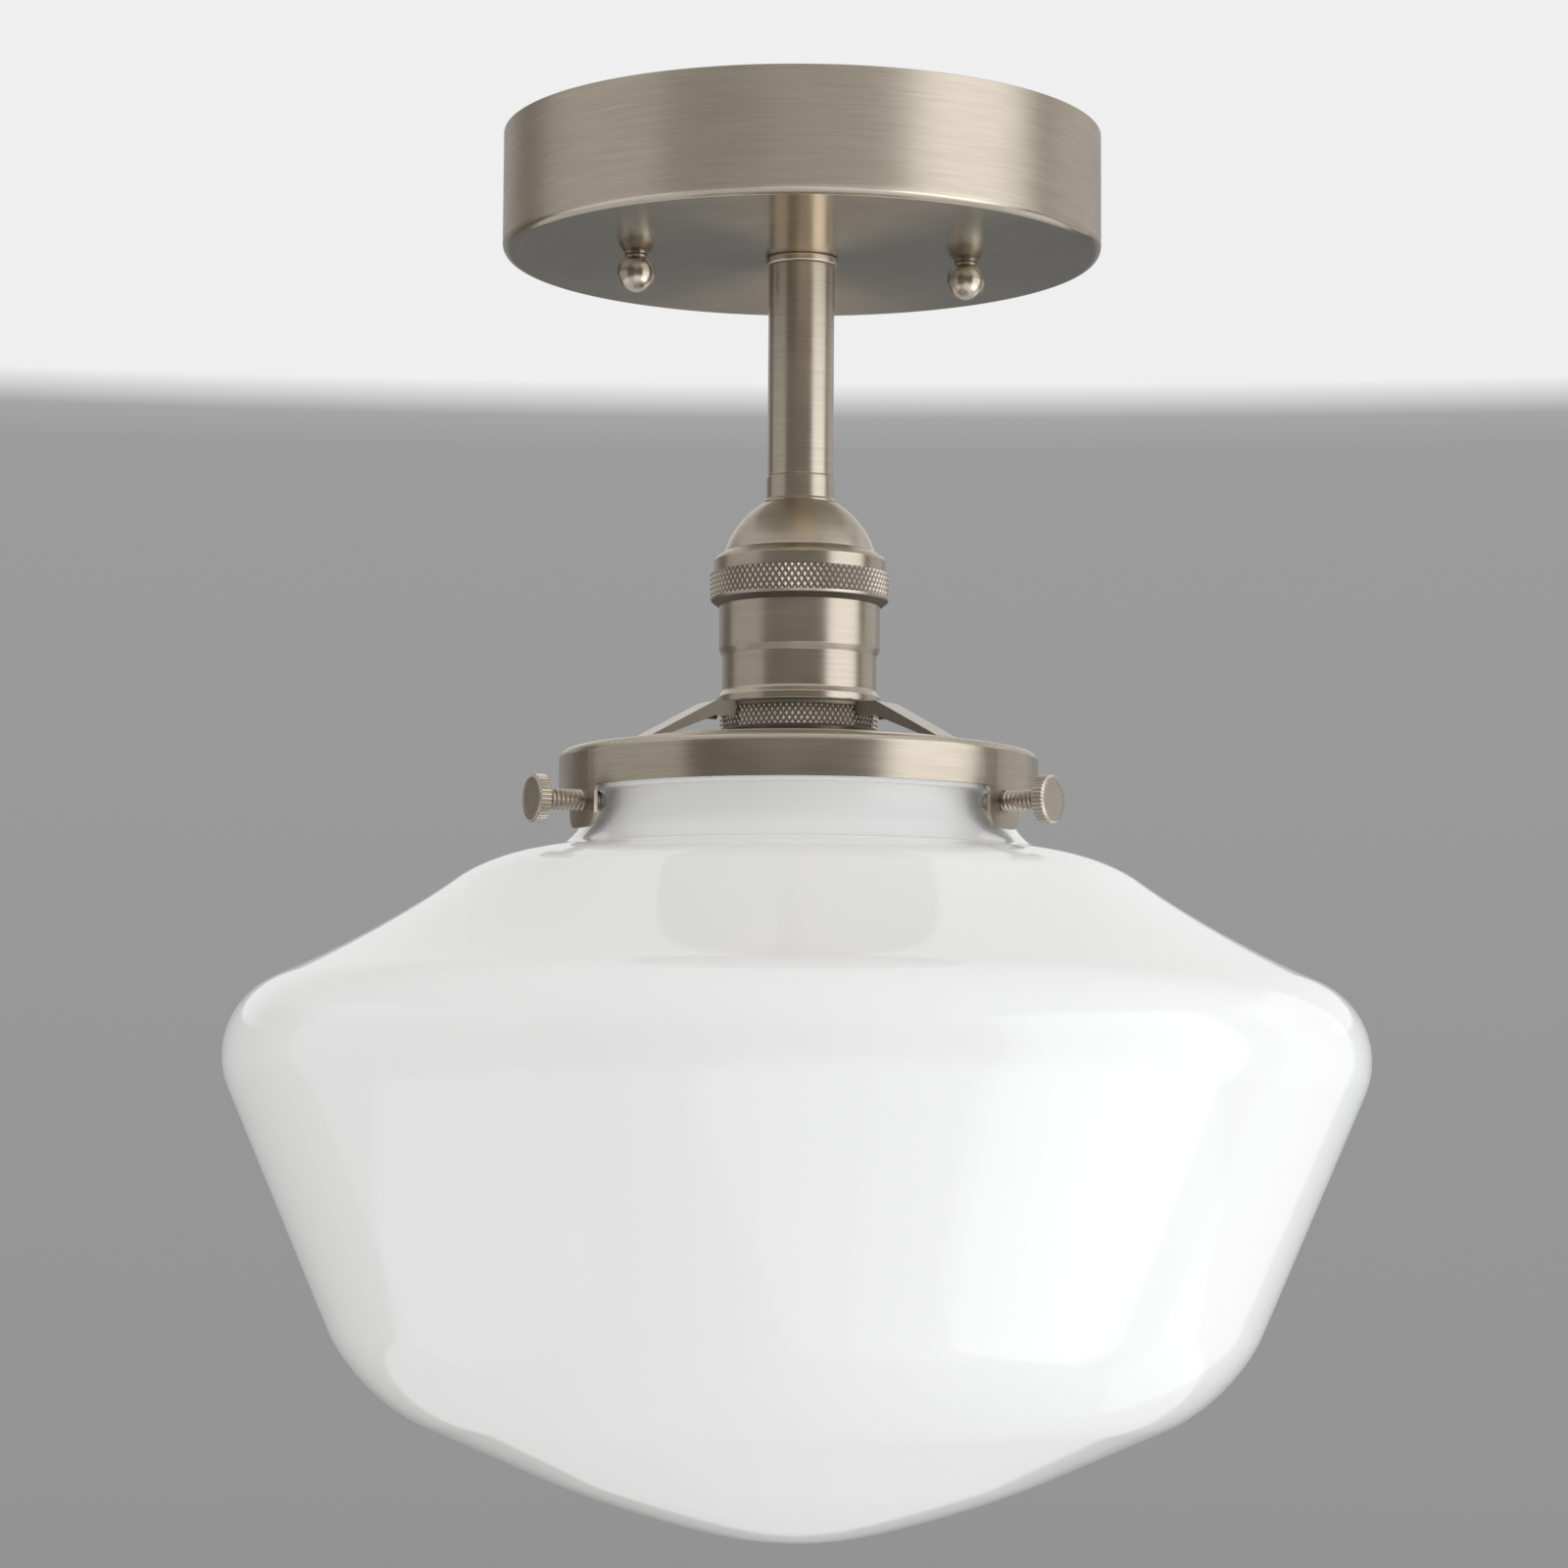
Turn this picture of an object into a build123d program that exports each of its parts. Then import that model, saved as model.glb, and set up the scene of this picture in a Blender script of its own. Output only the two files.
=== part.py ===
from build123d import *
from math import cos, radians, sin, tan
import os

# Semi flush ceiling light with a closed schoolhouse glass.
# Millimetres.  +Z is up, Z = 0 is the ceiling and the Z axis is the lamp axis.
# The two ball nuts lie on the X axis, the slots for the ceiling box screws on the Y axis.

# ---------------------------------------------------------------- driving sizes

# Fits
running_gap = 0.08          # radial gap where one piece turns or slides on another
thread_gap = 0.05           # radial gap where a screwed joint is drawn as plain cylinders
lift_gap = 0.1              # flat faces that part when something is unscrewed
seat_gap = 0.3              # a shaped face that rests beside another

# Straps and the rivet they swivel on
strap_width = 20.0
strap_thickness = 2.0
box_strap_length = 104.0
box_screw_spacing = 79.4
box_slot_length = 14.0
box_slot_width = 4.5
eyelet_radius = 6.4
eyelet_wall = 1.1
eyelet_flare_width = 1.8
eyelet_flare_depth = 1.2
eyelet_flange_thickness = 0.8
canopy_strap_length = 94.0
strap_flat_length = 27.0    # the middle of the canopy strap, before it steps down
strap_ramp_length = 6.0
strap_joggle = 2.6

# Studs, lock nuts and ball nuts
stud_spacing = 75.0
stud_radius = 2.08
stud_head_radius = 4.0
stud_head_height = 3.0
stud_hole_gap = 0.3
stud_reach = 4.6            # how far a stud stands out below the canopy
lock_nut_flats = 8.7
lock_nut_thickness = 3.2
ball_radius = 4.35
ball_neck_radius = 2.6
ball_neck_height = 0.6
ball_tip_angle = 68.0       # below this latitude the ball runs out into a blunt point
ball_hole_depth = 6.0

# Ground screw and its lead
ground_screw_inset = 11.5   # from the nearest stud towards the middle
ground_screw_radius = 1.9
ground_screw_head_radius = 4.2
ground_screw_head_height = 2.4
ground_screw_tip = 0.8      # how far it stands out above the strap
ground_lead_radius = 0.8
ground_ring_radius = 3.6

# Canopy
canopy_radius = 67.7
canopy_height = 27.8
canopy_wall = 0.9
canopy_edge_radius = 2.3

# Threaded nipples, their nut and washer, and the check ring
nipple_radius = 4.8
nipple_bore = 3.2
nipple_stub = 2.5           # nipple standing out above its nut
nipple_grip = 10.0          # nipple screwed into the stem, at each end
nipple_nut_flats = 14.0
nipple_nut_thickness = 3.2
washer_radius = 8.4
washer_thickness = 0.7
washer_tooth_depth = 1.7
washer_teeth = 12
check_ring_radius = 8.25
check_ring_height = 1.8
check_ring_edge = 0.45

# Stem and collar
stem_radius = 7.45
stem_length = 48.3
stem_bore = 5.8
stem_tapped_depth = 12.0
stem_edge = 0.25
collar_radius = 7.75
collar_height = 6.0
collar_foot_width = 0.5
collar_foot_height = 0.8

# Socket cap: hub, spherical dome, sloped flange, threaded skirt
cap_wall = 0.8
cap_top_radius = 8.4
dome_height = 11.1
dome_arc_radius = 17.4
dome_step = 2.0             # the dome is this much narrower than the threaded skirt
flange_slope_height = 1.9
flange_lip = 0.45           # the flange stands this much out over the skirt
flange_height = 3.1
flange_edge = 0.7
cap_skirt_radius = 18.9
cap_skirt_length = 4.0
bushing_radius = 7.0
bushing_length = 7.3
bushing_spare = 1.1         # bushing length left below the nipple

# Upper knurled ring
socket_ring_wall = 1.25
socket_ring_band = 4.7
socket_ring_nose = 2.6

# Socket shell and liner
shell_wall = 0.7
shell_flange_thickness = 0.8
shell_flange_width = 0.8
shell_upper_length = 12.4
shell_step_depth = 0.77
shell_step_height = 1.5
shell_lower_length = 7.6
bead_height = 3.6
bead_proud = 0.97
bead_flare_height = 1.6
bead_roll = 0.6
liner_wall = 0.4
liner_gap = 0.15
liner_inset = 0.5

# Socket body with the threaded barrel
body_drop = 8.0             # from the underside of the cap flange to the top of the body
body_web = 3.0
body_shoulder_gap = 0.2
barrel_gap = 0.18           # between the barrel and the liner
barrel_wall = 1.8
barrel_reach = 11.6         # barrel standing out below the shell

# Contacts, terminals and their screws
screw_shell_gap = 0.2
screw_shell_wall = 0.4
screw_shell_inset = 4.5
screw_shell_lip = 5.5
contact_radius = 3.8
contact_thickness = 1.2
contact_rivet_radius = 1.5
terminal_thickness = 0.8
terminal_width = 6.0
terminal_reach = 14.5
terminal_screw_offset = 11.0
terminal_screw_radius = 1.5
terminal_head_radius = 2.8
terminal_head_height = 1.8
terminal_screw_depth = 2.3

# Leads and connectors
lead_radius = 1.1
lead_side = 1.45            # distance of each lead from the lamp axis inside the stem
lead_rise = 5.5             # how far the leads stand above the nipple before they bend over
connector_radius = 5.2
connector_tip_radius = 2.6
connector_length = 20.0
connector_bore = 2.4
connector_bore_depth = 9.0
connector_side = 12.0
connector_mouth = 28.0      # distance of the connector mouths from the lamp axis
lead_grip = 4.0

# Gallery
gallery_sheet = 0.8
hub_width = 2.7
gallery_drop = 10.5         # from the hub plate down to the rim
gallery_radius = 53.7
gallery_corner_radius = 2.0
rim_width = 12.0
skirt_height = 9.65
arm_width = 9.5
arm_flat = 4.4              # level part of an arm outside the hub
arm_lap = 0.8               # how far an arm runs onto the rim
arm_flange_depth = 3.3
tab_width = 12.6
tab_drop = 9.15
tab_corner_radius = 3.4
tab_root_radius = 1.8
gallery_clocking = 82.5     # direction of the first tab, from +X
tab_count = 3

# Lower knurled ring
uno_ring_wall = 1.82
uno_ring_height = 4.5
uno_ring_edge = 0.35

# Thumb screws
screw_drop = 3.15           # screw axis below the skirt
screw_radius = 2.4
screw_length = 14.2
screw_tip_chamfer = 0.8
screw_tip_gap = 1.3         # from the tip to the neck of the glass, so that the glass can lift
screw_head_radius = 5.4
screw_head_thickness = 3.0
screw_head_edge = 0.35

# Glass; slopes are measured down from the level, outwards for the first three
glass_wall = 3.2
lip_width = 3.8
lip_height = 7.6
lip_edge = 1.4
lip_side_gap = 2.1          # between the lip and the skirt of the gallery
lip_rest_gap = 0.15         # the glass hangs from its lip on the three screws
neck_straight = 0.4
flare_radius = 11.9
shoulder_slope = 3.0
shoulder_radius = 33.4
ramp_slope = 36.3
ramp_radius = 186.0
brow_slope = 22.4
belly_radius = 18.9
flank_slope = 113.2
flank_length = 57.5
heel_radius = 38.2
base_slope = 156.4
base_length = 29.4
sweep_radius = 200.0
crown_slope = 169.1

# Lamp
lamp_cap_gap = 0.25
lamp_cap_wall = 0.4
lamp_cap_length = 24.0
lamp_contact_radius = 4.6
lamp_contact_height = 1.4
lamp_insulator_height = 2.8
lamp_neck_radius = 13.4
lamp_neck_length = 2.4
lamp_radius = 30.0
lamp_housing_length = 37.0
lamp_housing_wall = 1.5
lamp_dome_drop = 16.0
lamp_dome_wall = 1.2
led_board_radius = 23.0
led_board_thickness = 1.6

# ---------------------------------------------------------------- radii that follow from others

ground_screw_offset = stud_spacing / 2 - ground_screw_inset
dome_base_radius = cap_skirt_radius - dome_step
flange_radius = cap_skirt_radius + flange_lip
ring_bore = cap_skirt_radius + thread_gap
socket_ring_radius = ring_bore + socket_ring_wall
shell_radius = cap_skirt_radius - shell_flange_width
shell_bore = shell_radius - shell_wall
shell_lower_radius = shell_radius - shell_step_depth
shell_lower_bore = shell_lower_radius - shell_wall
bead_radius = shell_lower_radius + bead_proud
liner_radius = shell_lower_bore - liner_gap
barrel_radius = liner_radius - liner_wall - barrel_gap
barrel_bore = barrel_radius - barrel_wall
guide_bore = barrel_radius + running_gap
hub_radius = barrel_radius + hub_width
uno_ring_radius = guide_bore + uno_ring_wall
arm_bend_inner = hub_radius + arm_flat
rim_inner_radius = gallery_radius - rim_width
arm_bend_outer = rim_inner_radius + arm_lap
skirt_bore_radius = gallery_radius - gallery_sheet
lip_radius = skirt_bore_radius - lip_side_gap
neck_radius = lip_radius - lip_width
mouth_radius = neck_radius - glass_wall

# ---------------------------------------------------------------- levels on the lamp axis

canopy_strap_top = -strap_thickness - running_gap
canopy_bottom = -canopy_height
canopy_floor = canopy_bottom + canopy_wall
washer_top = canopy_floor + washer_thickness
nipple_nut_top = washer_top + nipple_nut_thickness
canopy_nipple_top = nipple_nut_top + nipple_stub
stem_top = canopy_bottom - check_ring_height
stem_bottom = stem_top - stem_length
cap_top = stem_bottom - collar_height
dome_bottom = cap_top - dome_height
flange_bottom = dome_bottom - flange_slope_height - flange_height
cap_skirt_bottom = flange_bottom - cap_skirt_length
shell_flange_bottom = cap_skirt_bottom - shell_flange_thickness
step_top = shell_flange_bottom - shell_upper_length
step_bottom = step_top - shell_step_height
bead_top = step_bottom - shell_lower_length
shell_bottom = bead_top - bead_height
body_top = flange_bottom - body_drop
web_bottom = body_top - body_web
barrel_bottom = shell_bottom - barrel_reach
hub_top = shell_bottom - lift_gap
hub_bottom = hub_top - gallery_sheet
rim_top = hub_top - gallery_drop
rim_bottom = rim_top - gallery_sheet
skirt_bottom = rim_top - skirt_height
tab_bottom = skirt_bottom - tab_drop
screw_level = skirt_bottom - screw_drop
lip_bottom = screw_level + screw_radius + lip_rest_gap
lip_top = lip_bottom + lip_height
screw_shell_top = web_bottom
lamp_top = web_bottom - contact_thickness - seat_gap

tab_angles = [gallery_clocking + 360 / tab_count * index for index in range(tab_count)]


# ---------------------------------------------------------------- shared operations

def turned(*lines):
    """Solid turned about the Z axis from a closed outline of (radius, height) lines."""
    edges = [edge for line in lines for edge in line.edges()]
    return revolve(Plane.XZ * make_face(edges), Axis.Z)


def turned_polygon(*points):
    """Solid turned about the Z axis from the (radius, height) corners of its section."""
    return turned(Polyline(*points, close=True))


def tube(outer_radius, bore_radius, top, bottom):
    """Straight tube on the Z axis."""
    section = Circle(outer_radius) - Circle(bore_radius)
    return Pos(0, 0, bottom) * extrude(section, top - bottom)


def rod(radius, top, bottom):
    """Straight round bar on the Z axis."""
    return Pos(0, 0, bottom) * extrude(Circle(radius), top - bottom)


def hex_nut(across_flats, bore_radius, top, bottom):
    """Hexagon nut with both faces turned down to a cone at the corners."""
    blank = extrude(RegularPolygon(across_flats / 2, 6, major_radius=False), top - bottom)
    corner = across_flats / 2 / cos(radians(30))
    crown = chamfer(rod(corner, top - bottom, 0).edges(), (corner - across_flats / 2) * 0.5)
    return Pos(0, 0, bottom) * ((blank & crown) - rod(bore_radius, top - bottom, 0))


def outer_rims(part):
    """The circular edges of largest radius."""
    return part.edges().filter_by(GeomType.CIRCLE).group_by(SortBy.RADIUS)[-1]


def wire_along(radius, bend_radius, *points):
    """Round wire along straight runs joined by tangent arcs."""
    path = FilletPolyline(*points, radius=bend_radius)
    return sweep(Plane(path @ 0, z_dir=path % 0) * Circle(radius), path)


pieces = {}

# ---------------------------------------------------------------- straps and studs

# Slotted strap against the ceiling box, countersunk for the flared rivet
slots = Sketch() + [
    Pos(0, side * box_screw_spacing / 2) * SlotOverall(box_slot_length, box_slot_width, rotation=90)
    for side in (-1, 1)
]
box_strap = extrude(
    SlotOverall(box_strap_length, strap_width, rotation=90) - slots - Circle(eyelet_radius + thread_gap),
    -strap_thickness,
)
eyelet_flare_radius = eyelet_radius + eyelet_flare_width
countersink = turned_polygon(
    (0, 0),
    (eyelet_flare_radius + thread_gap, 0),
    (eyelet_radius + thread_gap, -eyelet_flare_depth),
    (0, -eyelet_flare_depth),
)
pieces["box_strap"] = box_strap - countersink

# Hollow rivet through both straps
eyelet_flange_top = canopy_strap_top - strap_thickness - running_gap
eyelet_bottom = eyelet_flange_top - eyelet_flange_thickness
eyelet_bore = eyelet_radius - eyelet_wall
pieces["strap_eyelet"] = turned_polygon(
    (eyelet_bore + eyelet_flare_width, 0),
    (eyelet_flare_radius, 0),
    (eyelet_radius, -eyelet_flare_depth),
    (eyelet_radius, eyelet_flange_top),
    (eyelet_flare_radius, eyelet_flange_top),
    (eyelet_flare_radius, eyelet_bottom),
    (eyelet_bore, eyelet_bottom),
    (eyelet_bore, -eyelet_flare_depth),
)

# Strap with two steps, so that the stud heads clear the ceiling
canopy_strap_end_top = canopy_strap_top - strap_joggle
canopy_strap_bottom = canopy_strap_end_top - strap_thickness
flat_end = strap_flat_length / 2
ramp_end = flat_end + strap_ramp_length
strap_end = canopy_strap_length / 2
top_line = [
    (-strap_end, canopy_strap_end_top),
    (-ramp_end, canopy_strap_end_top),
    (-flat_end, canopy_strap_top),
    (flat_end, canopy_strap_top),
    (ramp_end, canopy_strap_end_top),
    (strap_end, canopy_strap_end_top),
]
bottom_line = [(x, z - strap_thickness) for x, z in reversed(top_line)]
strap_side = Plane.XZ * make_face(Polyline(*top_line, *bottom_line, close=True).edges())
strap_blank = extrude(strap_side, strap_width / 2, both=True)
strap_outline = extrude(SlotOverall(canopy_strap_length, strap_width), 2 * canopy_strap_bottom)
stud_places = [Pos(side * stud_spacing / 2, 0) for side in (-1, 1)]
strap_holes = [place * Circle(stud_radius + thread_gap) for place in stud_places]
strap_holes.append(Circle(eyelet_radius + running_gap))
strap_holes.append(Pos(-ground_screw_offset, 0) * Circle(ground_screw_radius + thread_gap))
strap_drilling = extrude(Sketch() + strap_holes, 2 * canopy_strap_bottom)
pieces["canopy_strap"] = (strap_blank & strap_outline) - strap_drilling

# Machine screws used as studs, with their heads on top of the strap
stud_bottom = canopy_bottom - stud_reach
stud_head_top = canopy_strap_end_top + stud_head_height
stud_head = rod(stud_head_radius, stud_head_top, canopy_strap_end_top)
stud_head = fillet(stud_head.edges().sort_by(Axis.Z)[-1], stud_head_height * 0.4)
driver_slot = Pos(0, 0, stud_head_top) * Box(stud_head_radius * 3, stud_radius * 0.5, stud_head_height * 0.8)
stud = stud_head - driver_slot + rod(stud_radius, canopy_strap_end_top, stud_bottom)
pieces["canopy_studs"] = Compound([place * stud for place in stud_places])

lock_nut = hex_nut(
    lock_nut_flats,
    stud_radius + thread_gap,
    canopy_strap_bottom,
    canopy_strap_bottom - lock_nut_thickness,
)
pieces["stud_lock_nuts"] = Compound([place * lock_nut for place in stud_places])

# Ball cap nut: neck, ball and blunt point, drilled blind from the top
ball_center = canopy_bottom - lift_gap - ball_neck_height - (ball_radius**2 - ball_neck_radius**2) ** 0.5
ball_top = canopy_bottom - lift_gap - ball_neck_height
tip_latitude = radians(ball_tip_angle)
tip_start = (ball_radius * cos(tip_latitude), ball_center - ball_radius * sin(tip_latitude))
ball_tip = (0, ball_center - ball_radius / sin(tip_latitude))
ball_outline = [
    Polyline(ball_tip, (0, canopy_bottom - lift_gap), (ball_neck_radius, canopy_bottom - lift_gap)),
    Line((ball_neck_radius, canopy_bottom - lift_gap), (ball_neck_radius, ball_top)),
    ThreePointArc((ball_neck_radius, ball_top), (ball_radius, ball_center), tip_start),
    Line(tip_start, ball_tip),
]
ball_hole = rod(stud_radius + running_gap, canopy_bottom, canopy_bottom - ball_hole_depth)
ball_nut = turned(*ball_outline) - ball_hole
pieces["ball_nut_left"] = stud_places[0] * ball_nut
pieces["ball_nut_right"] = stud_places[1] * ball_nut

# Green ground screw from below, over the ring of the bare copper lead
ground_place = Pos(-ground_screw_offset, 0)
ground_ring_bottom = canopy_strap_bottom - 2 * ground_lead_radius
ground_head_bottom = ground_ring_bottom - ground_screw_head_height
ground_head = hex_nut(1.7 * ground_screw_head_radius, ground_screw_radius / 2, ground_ring_bottom, ground_head_bottom)
ground_shank = rod(ground_screw_radius, canopy_strap_end_top + ground_screw_tip, ground_head_bottom)
pieces["ground_screw"] = ground_place * (ground_head + ground_shank)

# ---------------------------------------------------------------- canopy

# Spun cup: vertical wall, rounded lower edge, flat bottom
inner_edge_radius = canopy_edge_radius - canopy_wall
edge_height = canopy_bottom + canopy_edge_radius
edge_inset = canopy_radius - canopy_edge_radius
diagonal = cos(radians(45))
canopy_cup = turned(
    Line((canopy_radius, 0), (canopy_radius, edge_height)),
    ThreePointArc(
        (canopy_radius, edge_height),
        (edge_inset + canopy_edge_radius * diagonal, edge_height - canopy_edge_radius * diagonal),
        (edge_inset, canopy_bottom),
    ),
    Polyline((edge_inset, canopy_bottom), (0, canopy_bottom), (0, canopy_floor), (edge_inset, canopy_floor)),
    ThreePointArc(
        (edge_inset, canopy_floor),
        (edge_inset + inner_edge_radius * diagonal, edge_height - inner_edge_radius * diagonal),
        (canopy_radius - canopy_wall, edge_height),
    ),
    Polyline((canopy_radius - canopy_wall, edge_height), (canopy_radius - canopy_wall, 0), (canopy_radius, 0)),
)
canopy_holes = [place * Circle(stud_radius + stud_hole_gap) for place in stud_places]
canopy_holes.append(Circle(nipple_radius + stud_hole_gap))
pieces["canopy"] = canopy_cup - extrude(Sketch() + canopy_holes, 2 * canopy_bottom)

# ---------------------------------------------------------------- nipple, nut, washer, check ring

tapped_bore = nipple_radius + thread_gap
pieces["canopy_nipple"] = tube(nipple_radius, nipple_bore, canopy_nipple_top, stem_top - nipple_grip)
pieces["nipple_nut"] = hex_nut(nipple_nut_flats, tapped_bore, nipple_nut_top, washer_top)

# Washer with teeth around its rim
washer_disc = Circle(washer_radius) - Circle(tapped_bore)
notch_width = 3.14159 * washer_radius / washer_teeth
notches = Sketch() + [
    Rot(0, 0, 360 / washer_teeth * index)
    * Pos(washer_radius, 0)
    * Rectangle(2 * washer_tooth_depth, notch_width)
    for index in range(washer_teeth)
]
pieces["lock_washer"] = Pos(0, 0, canopy_floor) * extrude(washer_disc - notches, washer_thickness)

check_ring = tube(check_ring_radius, tapped_bore, canopy_bottom, stem_top)
pieces["check_ring"] = chamfer(outer_rims(check_ring), check_ring_edge)

# ---------------------------------------------------------------- stem and collar

stem_blank = rod(stem_radius, stem_top, stem_bottom)
stem_blank = chamfer(stem_blank.edges().filter_by(GeomType.CIRCLE), stem_edge)
stem_drilling = rod(stem_bore, stem_top - stem_tapped_depth, stem_bottom + stem_tapped_depth)
stem_drilling += rod(tapped_bore, stem_top, stem_top - stem_tapped_depth)
stem_drilling += rod(tapped_bore, stem_bottom + stem_tapped_depth, stem_bottom)
pieces["stem_tube"] = stem_blank - stem_drilling

pieces["socket_nipple"] = tube(
    nipple_radius,
    nipple_bore,
    stem_bottom + nipple_grip,
    cap_top - cap_wall - bushing_length + bushing_spare,
)

# Coupling with a small turned foot
foot_radius = collar_radius + collar_foot_width
pieces["stem_collar"] = turned_polygon(
    (tapped_bore, stem_bottom),
    (collar_radius - stem_edge, stem_bottom),
    (collar_radius, stem_bottom - stem_edge),
    (collar_radius, cap_top + collar_foot_height),
    (foot_radius, cap_top + collar_foot_height / 2),
    (foot_radius, cap_top),
    (tapped_bore, cap_top),
)

# ---------------------------------------------------------------- socket cap

# Flat hub, spherical dome, sloped shoulder, flange and threaded skirt, spun from one sheet
flange_top = dome_bottom - flange_slope_height
flange_side = flange_bottom + flange_height
skirt_bore = cap_skirt_radius - cap_wall
cap_inner_top = cap_top - cap_wall
dome_inner_radius = dome_base_radius - cap_wall
pieces["socket_cap"] = turned(
    Line((tapped_bore, cap_top), (cap_top_radius, cap_top)),
    RadiusArc((cap_top_radius, cap_top), (dome_base_radius, dome_bottom), dome_arc_radius),
    Polyline(
        (dome_base_radius, dome_bottom),
        (flange_radius - flange_edge, flange_top + flange_edge / 2),
        (flange_radius, flange_side - flange_edge / 2),
        (flange_radius, flange_bottom),
        (cap_skirt_radius, flange_bottom),
        (cap_skirt_radius, cap_skirt_bottom),
        (skirt_bore, cap_skirt_bottom),
        (skirt_bore, flange_top - cap_wall),
        (dome_inner_radius, dome_bottom - cap_wall),
    ),
    RadiusArc(
        (dome_inner_radius, dome_bottom - cap_wall),
        (cap_top_radius - cap_wall / 2, cap_inner_top),
        -(dome_arc_radius - cap_wall),
    ),
    Polyline((cap_top_radius - cap_wall / 2, cap_inner_top), (tapped_bore, cap_inner_top), (tapped_bore, cap_top)),
)
pieces["cap_bushing"] = tube(bushing_radius, tapped_bore, cap_inner_top, cap_inner_top - bushing_length)

# Ring that screws onto the skirt and hooks under the flange of the shell
ring_lip_bore = shell_radius + thread_gap
band_bottom = flange_bottom - socket_ring_band
ring_bottom = band_bottom - socket_ring_nose
nose_depth = socket_ring_radius - ring_lip_bore - thread_gap
pieces["socket_ring"] = turned(
    Polyline(
        (ring_lip_bore, ring_bottom),
        (ring_lip_bore, shell_flange_bottom),
        (ring_bore, shell_flange_bottom),
        (ring_bore, flange_bottom),
        (socket_ring_radius, flange_bottom),
        (socket_ring_radius, band_bottom),
    ),
    ThreePointArc(
        (socket_ring_radius, band_bottom),
        (socket_ring_radius - nose_depth * (1 - diagonal), band_bottom - socket_ring_nose * diagonal),
        (socket_ring_radius - nose_depth, ring_bottom),
    ),
    Line((socket_ring_radius - nose_depth, ring_bottom), (ring_lip_bore, ring_bottom)),
)

# ---------------------------------------------------------------- socket shell and liner

# Drawn shell: flange under the cap, wide upper part, small step, rolled bead at the bottom
bead_waist = shell_bottom + bead_height - bead_flare_height
pieces["socket_shell"] = turned(
    Polyline(
        (shell_lower_bore, shell_bottom),
        (shell_lower_bore, step_bottom),
        (shell_bore, step_top),
        (shell_bore, cap_skirt_bottom),
        (cap_skirt_radius, cap_skirt_bottom),
        (cap_skirt_radius, shell_flange_bottom),
        (shell_radius, shell_flange_bottom),
        (shell_radius, step_top),
        (shell_lower_radius, step_bottom),
        (shell_lower_radius, bead_top),
    ),
    ThreePointArc(
        (shell_lower_radius, bead_top),
        (shell_lower_radius + bead_proud * diagonal, bead_top - bead_flare_height * (1 - diagonal)),
        (bead_radius, bead_waist),
    ),
    Line((bead_radius, bead_waist), (bead_radius, shell_bottom + bead_roll)),
    ThreePointArc(
        (bead_radius, shell_bottom + bead_roll),
        (bead_radius - bead_roll * (1 - diagonal), shell_bottom + bead_roll * (1 - diagonal)),
        (bead_radius - bead_roll, shell_bottom),
    ),
    Line((bead_radius - bead_roll, shell_bottom), (shell_lower_bore, shell_bottom)),
)
pieces["socket_liner"] = tube(liner_radius, liner_radius - liner_wall, step_bottom, shell_bottom + liner_inset)

# ---------------------------------------------------------------- socket body, contacts, terminals

shoulder_radius_max = shell_bore - body_shoulder_gap
shoulder_bottom = step_top
rivet_hole = contact_rivet_radius + thread_gap
socket_body = turned_polygon(
    (0, body_top),
    (shoulder_radius_max, body_top),
    (shoulder_radius_max, shoulder_bottom),
    (barrel_radius, shoulder_bottom),
    (barrel_radius, barrel_bottom),
    (barrel_bore, barrel_bottom),
    (barrel_bore, web_bottom),
    (0, web_bottom),
)
neutral_rivet_offset = (terminal_screw_offset + screw_shell_lip) / 2 - contact_rivet_radius
rivet_places = [Pos(0, 0), Pos(-neutral_rivet_offset, 0)]
socket_body -= extrude(Sketch() + [place * Circle(rivet_hole) for place in rivet_places], 2 * barrel_bottom)
terminal_places = [Pos(side * terminal_screw_offset, 0) for side in (-1, 1)]
for place in terminal_places:
    socket_body -= place * rod(terminal_screw_radius + thread_gap, body_top, body_top - terminal_screw_depth)
pieces["socket_body"] = socket_body

screw_shell_radius = barrel_bore - screw_shell_gap
screw_shell_bore = screw_shell_radius - screw_shell_wall
lamp_screw_shell = turned_polygon(
    (screw_shell_lip, screw_shell_top),
    (screw_shell_radius, screw_shell_top),
    (screw_shell_radius, barrel_bottom + screw_shell_inset),
    (screw_shell_bore, barrel_bottom + screw_shell_inset),
    (screw_shell_bore, screw_shell_top - screw_shell_wall),
    (screw_shell_lip, screw_shell_top - screw_shell_wall),
)
pieces["lamp_screw_shell"] = lamp_screw_shell - rivet_places[1] * rod(rivet_hole, body_top, barrel_bottom)

# The centre contact and its rivet are one turned piece
terminal_top = body_top + terminal_thickness
pieces["centre_contact"] = turned_polygon(
    (0, web_bottom - contact_thickness),
    (contact_radius * 0.6, web_bottom - contact_thickness),
    (contact_radius, web_bottom - contact_thickness / 2),
    (contact_radius, web_bottom),
    (contact_rivet_radius, web_bottom),
    (contact_rivet_radius, terminal_top),
    (0, terminal_top),
)

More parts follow.
